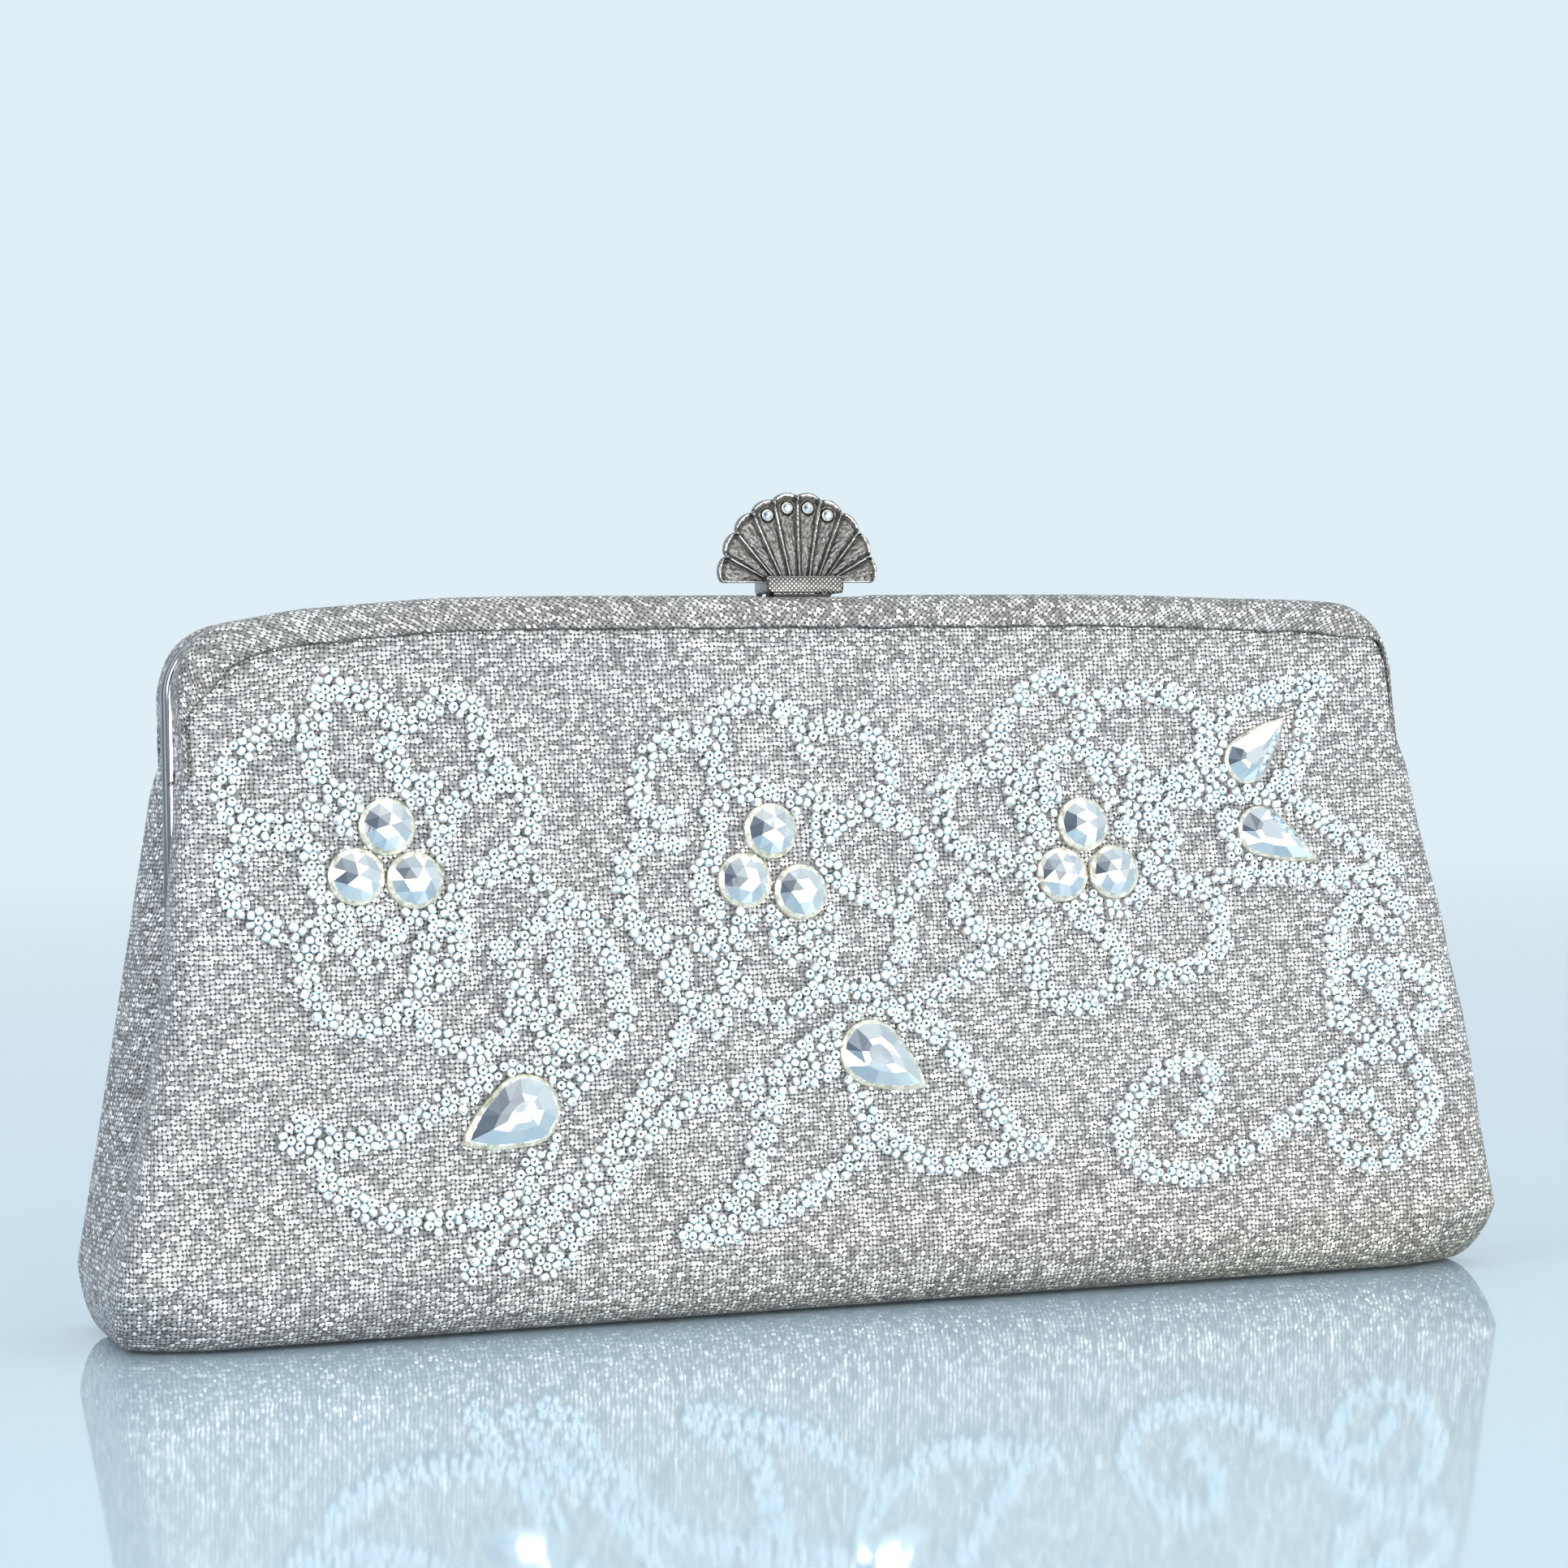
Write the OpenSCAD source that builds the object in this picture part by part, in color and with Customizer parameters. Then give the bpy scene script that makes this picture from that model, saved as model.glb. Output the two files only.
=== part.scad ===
// Beaded evening bag: a soft pouch hung in a two-part metal frame, closed by a
// scallop-shell clasp. Millimetres. The front faces -Y, +X is to the right of it as
// seen from the front, +Z is up. The origin is under the middle of the base, on the
// surface that the bag stands on.

/* [Body] */
// Half width of the pouch at the widest place, just above the base
base_half_w = 135; // [120:1:150]
// Half depth of the pouch at that place
base_half_d = 25.5; // [22:0.5:30]
// Height of that place
base_round_z = 12; // [10:0.5:14]
// Half depth of the flat strip that the bag stands on
foot_half_d = 14.3; // [12:0.1:16]
// Height of the closed frame above the surface
frame_top = 132.2; // [126:0.1:140]
// Half depth of the closed bag at the top of the frame
top_half_d = 9.4; // [9:0.1:11]
// Thickness of the backed outer fabric
fabric_t = 1.2; // [0.8:0.1:1.6]

/* [Frame] */
// Outer half width of the metal frame
frame_half_w = 121; // [116:0.5:128]
// Outer radius of the frame's upper corners
frame_corner_r = 13; // [10:0.5:16]
// How far the frame's top falls from its flat middle to the corners
arch_fall = 2.4; // [0:0.2:3]
// Half width of the flat middle of the frame's top
arch_flat = 50; // [20:5:80]
// Height of the two hinge rivets
hinge_z = 66; // [60:1:70]
// Depth of one exposed metal rail, front to back
rail_d = 3.2; // [2.6:0.1:3.6]
// Thickness of a rail, from outside to inside
rail_t = 3.2; // [2.6:0.1:3.6]
// Depth of the hidden flange that the fabric is fixed to
flange_d = 3.6; // [2.5:0.1:4]
// Gap between the two closed frame halves
frame_gap = 0.4; // [0.3:0.1:0.6]
// Radius of a hinge rivet's shank
hinge_pin_r = 1.2; // [1:0.1:1.4]

/* [Clasp] */
// Half width of the scallop shell
shell_r = 16; // [14:0.5:18]
// Height of the scallop shell above its straight lower edge
shell_h = 17.2; // [15:0.1:18]
// Height of the shell's straight lower edge
shell_z = 135.2; // [135:0.1:136]
// Number of lobes in the shell
lobe_n = 10; // [8:1:12]
// Height of the clasp's pivot pin
pivot_z = 134; // [133.8:0.1:134.2]
// Distance of the pivot pin behind the frame's joint line
pivot_y = 1.8; // [1.6:0.1:2]
// Radius of the pivot pin
pivot_r = 0.7; // [0.6:0.05:0.8]

/* [Decoration] */
// Height of the beads above the fabric
bead_h = 1.7; // [1.4:0.1:2]
// Radius of a round stone
stone_r = 5.25; // [5:0.05:5.3]
// Height of a stone
stone_h = 3.4; // [3:0.1:4]

/* [Hidden] */
$fn = 48;

silver_fabric = "#c9c7c4";
metal = "#8f9094";
old_silver = "#8a8a88";
bead_white = "#dfeaf0";
crystal = "#c4cdd2";
card = "#b9a98c";
satin = "#d9d5cd";

clear = 0.05;              // gap between pieces that meet face to face
board_t = 1.5;             // thickness of the stiffening card
lining_t = 0.5;            // thickness of the lining
tilt = atan((base_half_d - top_half_d) / (frame_top - base_round_z));
wall_z = 105;              // above this height the pouch's sides are upright
wall_half_w = 120.5;
side_slope = (base_half_w - wall_half_w) / (wall_z - base_round_z);
fold_lo = 62;              // the fabric bends between these heights
fold_hi = 74;
cover_end_z = 101;         // lower end of the fabric band along the arms
cover_seam_z = 126.2;      // seam under the fabric band
cover_seam_w = 115.5;      // half width inside the band at the arms
edge_y = 3.5;              // the wrapped panel edges end this far from the middle
arm_y = frame_gap / 2;
neck_w = 15.2;             // width of the clasp's neck and its hatched front bar
neck_front = -4.6;
neck_wall = 1.2;

function half_w(z) = z > wall_z ? wall_half_w : wall_half_w + (wall_z - z) * side_slope;
function half_d(z) = base_half_d - (z - base_round_z) * tan(tilt);
function up(z) = (z - base_round_z) / cos(tilt);   // height measured along a face
function flat_points(list) = [for (p = list) [p[0], up(p[1])]];

// Puts a drawing made in x and height-along-the-face on the front face; what is
// extruded grows outwards from the face.
module on_front() {
  translate([0, -base_half_d, base_round_z]) rotate([90 - tilt, 0, 0]) children();
}

module as_back() { mirror([0, 1, 0]) children(); }

// Everything behind the front face, moved in by a distance.
module behind_front(inset = 0) {
  on_front() translate([-200, -60, -60 - inset]) cube([400, 260, 60]);
}

// A drawing in x and z, extruded in y from y0 to y1.
module slab(y0, y1) {
  translate([0, y1, 0]) rotate([90, 0, 0]) linear_extrude(y1 - y0) children();
}

// Right half of an arch, from the arm round the corner to the flat middle of the top,
// which falls gently towards the corner.
function arch_half(w, top, r) =
  let (turn = 86, x1 = w - r + r * cos(turn), z1 = top - arch_fall)
  concat(
    [for (i = [0:10]) let (a = turn * i / 10)
      [w - r + r * cos(a), z1 + r * (sin(a) - sin(turn))]],
    [for (i = [1:8]) let (s = 1 - i / 8)
      [arch_flat + (x1 - arch_flat) * s, top - arch_fall * s * s]]);

// The same points on the other side, in the order that carries on round the outline.
function other_half(points) = [for (i = [len(points) - 1:-1:0]) [-points[i][0], points[i][1]]];

// Upright outline with rounded upper corners, from z0 up to top.
module arch(w, top, r, z0) {
  half = arch_half(w, top, r);
  polygon(concat([[w, z0]], half, other_half(half), [[-w, z0]]));
}

module frame_arch(inset, z0) {
  arch(frame_half_w - inset, frame_top - inset, frame_corner_r - inset * 0.6, z0);
}

module seam_arch(inset, z0) { arch(cover_seam_w - inset, cover_seam_z - inset, 12, z0); }

// ---------------------------------------------------------------- the pouch

// What lies inside an outline in x and z, behind the front face, from the face back
// to y1. The inset moves only the face.
module front_part(points, inset, y1) {
  intersection() {
    slab(-40, y1) polygon(points);
    behind_front(inset);
  }
}

// Outline of the front between two heights; its sides follow the sloping side walls.
function side_outline(z0, z1, inset) = [
  [inset - half_w(z0), z0], [half_w(z0) - inset, z0],
  [half_w(z1) - inset, z1], [inset - half_w(z1), z1]];

// A panel of outer fabric between two heights, with both edges wrapped back.
module panel(z0, z1) {
  difference() {
    front_part(side_outline(z0, z1, 0), 0, -edge_y);
    front_part(side_outline(z0 - 1, z1 + 1, fabric_t), fabric_t, 0);
  }
}

module lower_panel() { color(silver_fabric) panel(base_round_z + clear, fold_lo); }

module fold_strip() { color(silver_fabric) panel(fold_lo + clear, fold_hi - clear); }

// Above the fold the edges stay wrapped as far as the band, then run under its seam.
module upper_panel() {
  w = cover_seam_w - clear;
  top = cover_seam_z - clear;
  half = arch_half(w, top, 12);
  z0 = fold_hi;
  z1 = cover_end_z - clear;
  color(silver_fabric) difference() {
    front_part(concat(
      [[half_w(z0), z0], [half_w(z1), z1], [w, z1]],
      half, other_half(half),
      [[-w, z1], [-half_w(z1), z1], [-half_w(z0), z0]]), 0, -edge_y);
    front_part([[fabric_t - half_w(z0), z0 - 1], [half_w(z0) - fabric_t, z0 - 1],
                [half_w(z1) - fabric_t, z1 + 1], [w + 1, z1 + 1], [w + 1, top + 1],
                [-w - 1, top + 1], [-w - 1, z1 + 1], [fabric_t - half_w(z1), z1 + 1]],
      fabric_t, 0);
  }
}

// Cross-section of the base, with rounded lower edges; the inset is the wall's thickness.
module base_section(inset) {
  n = 8;
  d = base_half_d - inset;
  edge = [for (i = [0:n]) let (a = 90 * i / n)
    [foot_half_d + (d - foot_half_d) * sin(a),
     base_round_z - (base_round_z - inset) * cos(a)]];
  polygon(concat(edge, [for (i = [n:-1:0]) [-edge[i][0], edge[i][1]]]));
}

module base_solid(inset, half_len) {
  translate([-half_len, 0, 0]) rotate([90, 0, 90]) linear_extrude(2 * half_len)
    base_section(inset);
}

// The base is a tray of outer fabric: floor, rounded long edges and end walls.
module base() {
  color(silver_fabric) difference() {
    base_solid(0, base_half_w);
    base_solid(fabric_t, base_half_w - fabric_t);
    translate([0, 0, base_round_z + 5 - clear]) cube([300, 80, 10], center = true);
  }
}

module base_board() {
  color(card) translate([0, 0, fabric_t + board_t / 2])
    cube([2 * base_half_w - 16, 2 * foot_half_d - 1, board_t], center = true);
}

// A sloping side wall on the +X side, sunk a little behind the wrapped edges.
module side_wall() {
  z0 = base_round_z;
  z1 = fold_lo;
  sink = fabric_t + clear;
  lean = atan(side_slope);
  translate([half_w(z0) - sink, 0, z0]) rotate([0, -lean, 0])
    translate([-1, 0, 0]) rotate([90, 0, 90]) linear_extrude(1)
      polygon([for (s = [-1, 1], e = [0, 1])
        let (z = (s < 0) == (e == 0) ? z0 : z1)
        [s * (half_d(z) - fabric_t - 0.4), (z - z0) / cos(lean)]]);
}

module right_gusset() { color(silver_fabric) side_wall(); }
module left_gusset() { mirror([1, 0, 0]) right_gusset(); }

// Above the hinge the gusset is folded inwards between the frame arms.
module right_gusset_fold() {
  x1 = frame_half_w - rail_t - 0.3;
  x0 = x1 - 14.5;
  color(silver_fabric) translate([0, 0, hinge_z + 4]) linear_extrude(46)
    polygon([[x1, -2.8], [x1, -2.2], [x0 + 1.2, 0], [x1, 2.2], [x1, 2.8],
             [x0, 0.2], [x0, -0.2]]);
}
module left_gusset_fold() { mirror([1, 0, 0]) right_gusset_fold(); }

// The lining of the pouch: an open box that follows the sloping walls.
module lining_solid(inset, z0) {
  z1 = fold_lo;
  w0 = half_w(base_round_z) - 2.6 - inset;
  w1 = half_w(z1) - 2.6 - inset;
  intersection() {
    slab(-40, 40) polygon([[-w0, z0], [w0, z0], [w0, base_round_z], [w1, z1],
                           [-w1, z1], [-w0, base_round_z]]);
    behind_front(fabric_t + 0.1 + inset);
    as_back() behind_front(fabric_t + 0.1 + inset);
  }
}

module lining_pouch() {
  floor_z = fabric_t + board_t;
  color(satin) difference() {
    intersection() {
      lining_solid(0, floor_z);
      union() {
        base_solid(fabric_t + 0.1, base_half_w - fabric_t - 0.1);
        translate([-150, -40, base_round_z - clear]) cube([300, 80, 60]);
      }
    }
    intersection() {
      lining_solid(lining_t, floor_z + lining_t);
      union() {
        base_solid(fabric_t + 0.1 + lining_t, base_half_w);
        translate([-150, -40, base_round_z - 1]) cube([300, 80, 60]);
      }
    }
    translate([0, 0, fold_lo]) cube([260, 60, 1], center = true);
  }
}

// ---------------------------------------------------------------- the frame

// Where an ear of one half turns beside the other half: part of the arm is cut away.
module ear_clearance(x0, x1, r) {
  translate([x0, 0, hinge_z]) rotate([0, 90, 0]) cylinder(h = x1 - x0, r = r);
}

// The U-shaped half frame, front half: an exposed rail and the flange behind it.
module half_frame_rail() {
  slab(-arm_y - rail_d, -arm_y) difference() {
    frame_arch(0, hinge_z);
    frame_arch(rail_t, hinge_z - 1);
  }
  slab(-arm_y - rail_d - flange_d, -arm_y - rail_d + 0.01) difference() {
    frame_arch(rail_t - 1, hinge_z + 6);
    frame_arch(rail_t, hinge_z - 1);
  }
}

ear_r = 3.4;
ear_t = rail_t / 2 - 0.1;
ear_in = frame_half_w - rail_t;            // inner face of the arms
ear_mid = frame_half_w - rail_t / 2;       // between the two lapped ears

// A half frame with one ear on each arm. The ear fills x from ear_x on the +X side,
// and the other half's ear has its place cut out beside it.
module half_frame(ear_x, other_x, bore_r) {
  difference() {
    union() {
      difference() {
        half_frame_rail();
        for (m = [0, 1]) mirror([m, 0, 0])
          ear_clearance(other_x - 0.15, other_x + ear_t + 0.15, ear_r + 0.3);
      }
      for (m = [0, 1]) mirror([m, 0, 0]) ear_clearance(ear_x, ear_x + ear_t, ear_r);
    }
    for (m = [0, 1]) mirror([m, 0, 0])
      ear_clearance(ear_in - 1, frame_half_w + 1, bore_r);
  }
}

module front_frame() {
  color(metal) difference() {
    half_frame(ear_in, ear_mid + 0.1, hinge_pin_r + 0.06);
    drill_pair(-arm_y - 1.3);
  }
}

module back_frame() {
  color(metal) difference() {
    as_back() half_frame(ear_mid + 0.1, ear_in, hinge_pin_r);
    drill_pair(arm_y + 1.5);
  }
}

module hinge_rivets() {
  color(metal) for (m = [0, 1]) mirror([m, 0, 0]) {
    ear_clearance(ear_in - 0.7, frame_half_w + 0.3, hinge_pin_r);
    ear_clearance(ear_in - 1.0, ear_in - clear, 2.2);
    ear_clearance(frame_half_w, frame_half_w + 0.6, 2.2);
  }
}

// The fabric band round a half frame: a pad outside the flange and a flat skirt.
module frame_cover() {
  color(silver_fabric) {
    intersection() {
      slab(-30, -arm_y - rail_d - clear) difference() {
        frame_arch(0, cover_end_z);
        frame_arch(rail_t - 1 - clear, cover_end_z - 1);
      }
      behind_front();
    }
    intersection() {
      slab(-30, -arm_y - rail_d - flange_d - clear) difference() {
        frame_arch(rail_t - 1 - clear, cover_end_z);
        seam_arch(0, cover_end_z - 1);
      }
      behind_front();
      on_front() translate([-200, -60, -2.2]) cube([400, 260, 2.2]);
    }
  }
}

module inner_sheet(inset, t, z0, z1) {
  on_front() translate([0, 0, -inset - t]) linear_extrude(t)
    polygon(flat_points([[-114, z0], [114, z0], [110, z1], [-110, z1]]));
}

module board() { color(card) inner_sheet(fabric_t + clear, board_t, fold_hi + 1, 122); }

module lining_sheet() {
  color(satin) inner_sheet(fabric_t + board_t + 2 * clear, lining_t, fold_hi, 122);
}

// ---------------------------------------------------------------- the clasp

rail_top = frame_top;

// A plate on the front rail with an upstand that the neck's front wall drops over.
module catch_plate() {
  color(old_silver) difference() {
    union() {
      translate([-5.5, -arm_y - 2.9, rail_top]) cube([11, 2.6, 0.35]);
      translate([-5.5, -arm_y - 2.9, rail_top]) cube([11, 0.6, 0.75]);
    }
    drill_pair(-arm_y - 1.3);
  }
}

module rivet_pair(y, z) {
  for (x = [-2.6, 2.6]) translate([x, y, z]) {
    cylinder(h = 0.15, r = 0.7);
    translate([0, 0, -2]) cylinder(h = 2.01, r = 0.4);
  }
}

module catch_rivets() { color(metal) rivet_pair(-arm_y - 1.3, rail_top + 0.35); }
module bracket_rivets() { color(metal) rivet_pair(arm_y + 1.5, rail_top + 0.35); }

module drill_pair(y) {
  for (x = [-2.6, 2.6]) translate([x, y, rail_top - 4]) cylinder(h = 6, r = 0.4);
}

// A plate on the back rail with two lugs that carry the pivot pin.
module clasp_bracket() {
  color(old_silver) difference() {
    union() {
      translate([-5.6, arm_y + 0.1, rail_top]) cube([11.2, 3, 0.35]);
      for (x = [-5.4, 4.4]) translate([x, 0, 0]) {
        translate([0, pivot_y - 1.1, rail_top]) cube([1, 2.2, pivot_z - rail_top]);
        translate([0, pivot_y, pivot_z]) rotate([0, 90, 0]) cylinder(h = 1, r = 1.1);
      }
    }
    translate([-8, pivot_y, pivot_z]) rotate([0, 90, 0])
      cylinder(h = 16, r = pivot_r + 0.05);
    drill_pair(arm_y + 1.5);
  }
}

module clasp_pin() {
  color(metal) translate([-neck_w / 2 + 0.2, pivot_y, pivot_z]) rotate([0, 90, 0])
    cylinder(h = neck_w - 0.4, r = pivot_r);
}

// Rim of the shell: a half circle broken into equal rounded lobes.
function rim(a) = let (s = 180 / lobe_n, t = (a % s) / s)
  shell_r - 1.1 + 1.1 * sqrt(sin(180 * t));
function shell_point(r, a) = [r * cos(a), max(0, r * sin(a)) * shell_h / shell_r];

module shell_plate(t) {
  translate([0, 0, shell_z]) slab(-t / 2, t / 2)
    polygon([for (a = [0:3:180]) shell_point(rim(a), a)]);
}

module shell_ribs() {
  for (i = [1:lobe_n - 1]) translate([0, -0.9, shell_z]) rotate([0, -180 * i / lobe_n, 0])
    translate([4, -0.5, -0.35]) cube([shell_r - 5.2, 1, 0.7]);
}

// The neck is a hollow block over the bracket. Its heel is rounded about the pin,
// so that it clears the rail as the shell tips back.
module neck() {
  difference() {
    union() {
      translate([-neck_w / 2, neck_front, 133]) cube([neck_w, pivot_y - neck_front, 3.2]);
      translate([-neck_w / 2, pivot_y, pivot_z]) cube([neck_w, 1.4, 2.2]);
      translate([-neck_w / 2, pivot_y, pivot_z]) rotate([0, 90, 0])
        cylinder(h = neck_w, r = 1.4);
    }
    translate([-neck_w / 2 + neck_wall, neck_front + neck_wall, 130])
      cube([neck_w - 2 * neck_wall, 7.2, 5.4]);
    translate([-neck_w / 2 + 0.2, pivot_y, pivot_z]) rotate([0, 90, 0])
      cylinder(h = neck_w - 0.4, r = pivot_r);
  }
}

module clasp_shell() {
  color(old_silver) {
    difference() {
      union() {
        shell_plate(1.8);
        shell_ribs();
        neck();
      }
      clasp_stone_seats();
    }
  }
}

// Places the small stones: one in each of the four upper lobes.
module at_clasp_stones() {
  for (i = [3:6]) let (p = shell_point(13.3, 180 * (i + 0.5) / lobe_n))
    translate([p[0], -0.5, shell_z + p[1]]) rotate([90, 0, 0]) children();
}

module clasp_stone_seats() { at_clasp_stones() cylinder(h = 3, r = 1.25); }

module clasp_stones() {
  color(crystal) at_clasp_stones() {
    cylinder(h = 0.8, r = 1.2);
    translate([0, 0, 0.8]) cylinder(h = 0.5, r1 = 1.2, r2 = 0.7);
  }
}

// The return spring: a small coil round the pin, swept along a helix.
coil_turns = 6;
coil_steps = 10;
coil_r = 1.02;
wire_r = 0.15;
wire_n = 6;
function coil_ring(i) = let (a = 360 * i / coil_steps, x = -3.2 + 6.4 * i / (coil_turns * coil_steps))
  [for (k = [0:wire_n - 1]) let (b = 360 * k / wire_n, r = coil_r + wire_r * cos(b))
    [x + wire_r * sin(b), r * cos(a), r * sin(a)]];

module clasp_spring() {
  last = coil_turns * coil_steps;
  points = [for (i = [0:last]) each coil_ring(i)];
  sides = [for (i = [0:last - 1], k = [0:wire_n - 1])
    [i * wire_n + k, i * wire_n + (k + 1) % wire_n,
     (i + 1) * wire_n + (k + 1) % wire_n, (i + 1) * wire_n + k]];
  caps = [[for (k = [wire_n - 1:-1:0]) k], [for (k = [0:wire_n - 1]) last * wire_n + k]];
  color(metal) translate([0, pivot_y, pivot_z]) polyhedron(points, concat(sides, caps));
}

// ---------------------------------------------------------------- decoration

// Centres of the round stones, as x and height.
round_spots = [
  [-84.2, 91], [-90.2, 82.3], [-79.6, 81.4],
  [-12.1, 88.6], [-17.8, 79.6], [-7, 77.2],
  [50.8, 88.3], [45.6, 78.9], [56.4, 79.1]
];
// Pear stones: centre of the round end, centre height, direction of the tip, size.
pear_upper = [[86.3, 100.3, 42, 16.5], [88.8, 85.8, -27, 17]];
pear_lower = [[-61.5, 40, 205, 20], [5, 47.3, -33, 19]];

// Outline of a pear stone: a circle drawn out to a tip along +X.
module pear(len, inset) {
  r = len * 0.33 - inset;
  tip = len * 0.67 - inset * 1.6;
  b = acos(r / tip);
  polygon(concat([[tip, 0]], [for (a = [b:(360 - 2 * b) / 20:360 - b]) [r * cos(a), r * sin(a)]]));
}

module at_spot(p) { translate([p[0], up(p[1]), 0]) children(); }

module pear_at(p, inset) { at_spot(p) rotate(p[2]) pear(p[3], inset); }

module cut_pears(list) {
  color(crystal) on_front() for (p = list) {
    linear_extrude(stone_h * 0.4) pear_at(p, 0);
    translate([0, 0, stone_h * 0.4]) linear_extrude(stone_h * 0.3) pear_at(p, 0.9);
    translate([0, 0, stone_h * 0.7]) linear_extrude(stone_h * 0.3) pear_at(p, 2);
  }
}

module round_stones() {
  color(crystal) on_front() for (p = round_spots) at_spot(p) {
    cylinder(h = stone_h * 0.4, r = stone_r - 0.05);
    translate([0, 0, stone_h * 0.4])
      cylinder(h = stone_h * 0.6, r1 = stone_r - 0.05, r2 = stone_r * 0.55);
  }
}
module pear_stones_upper() { cut_pears(pear_upper); }
module pear_stones_lower() { cut_pears(pear_lower); }

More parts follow.
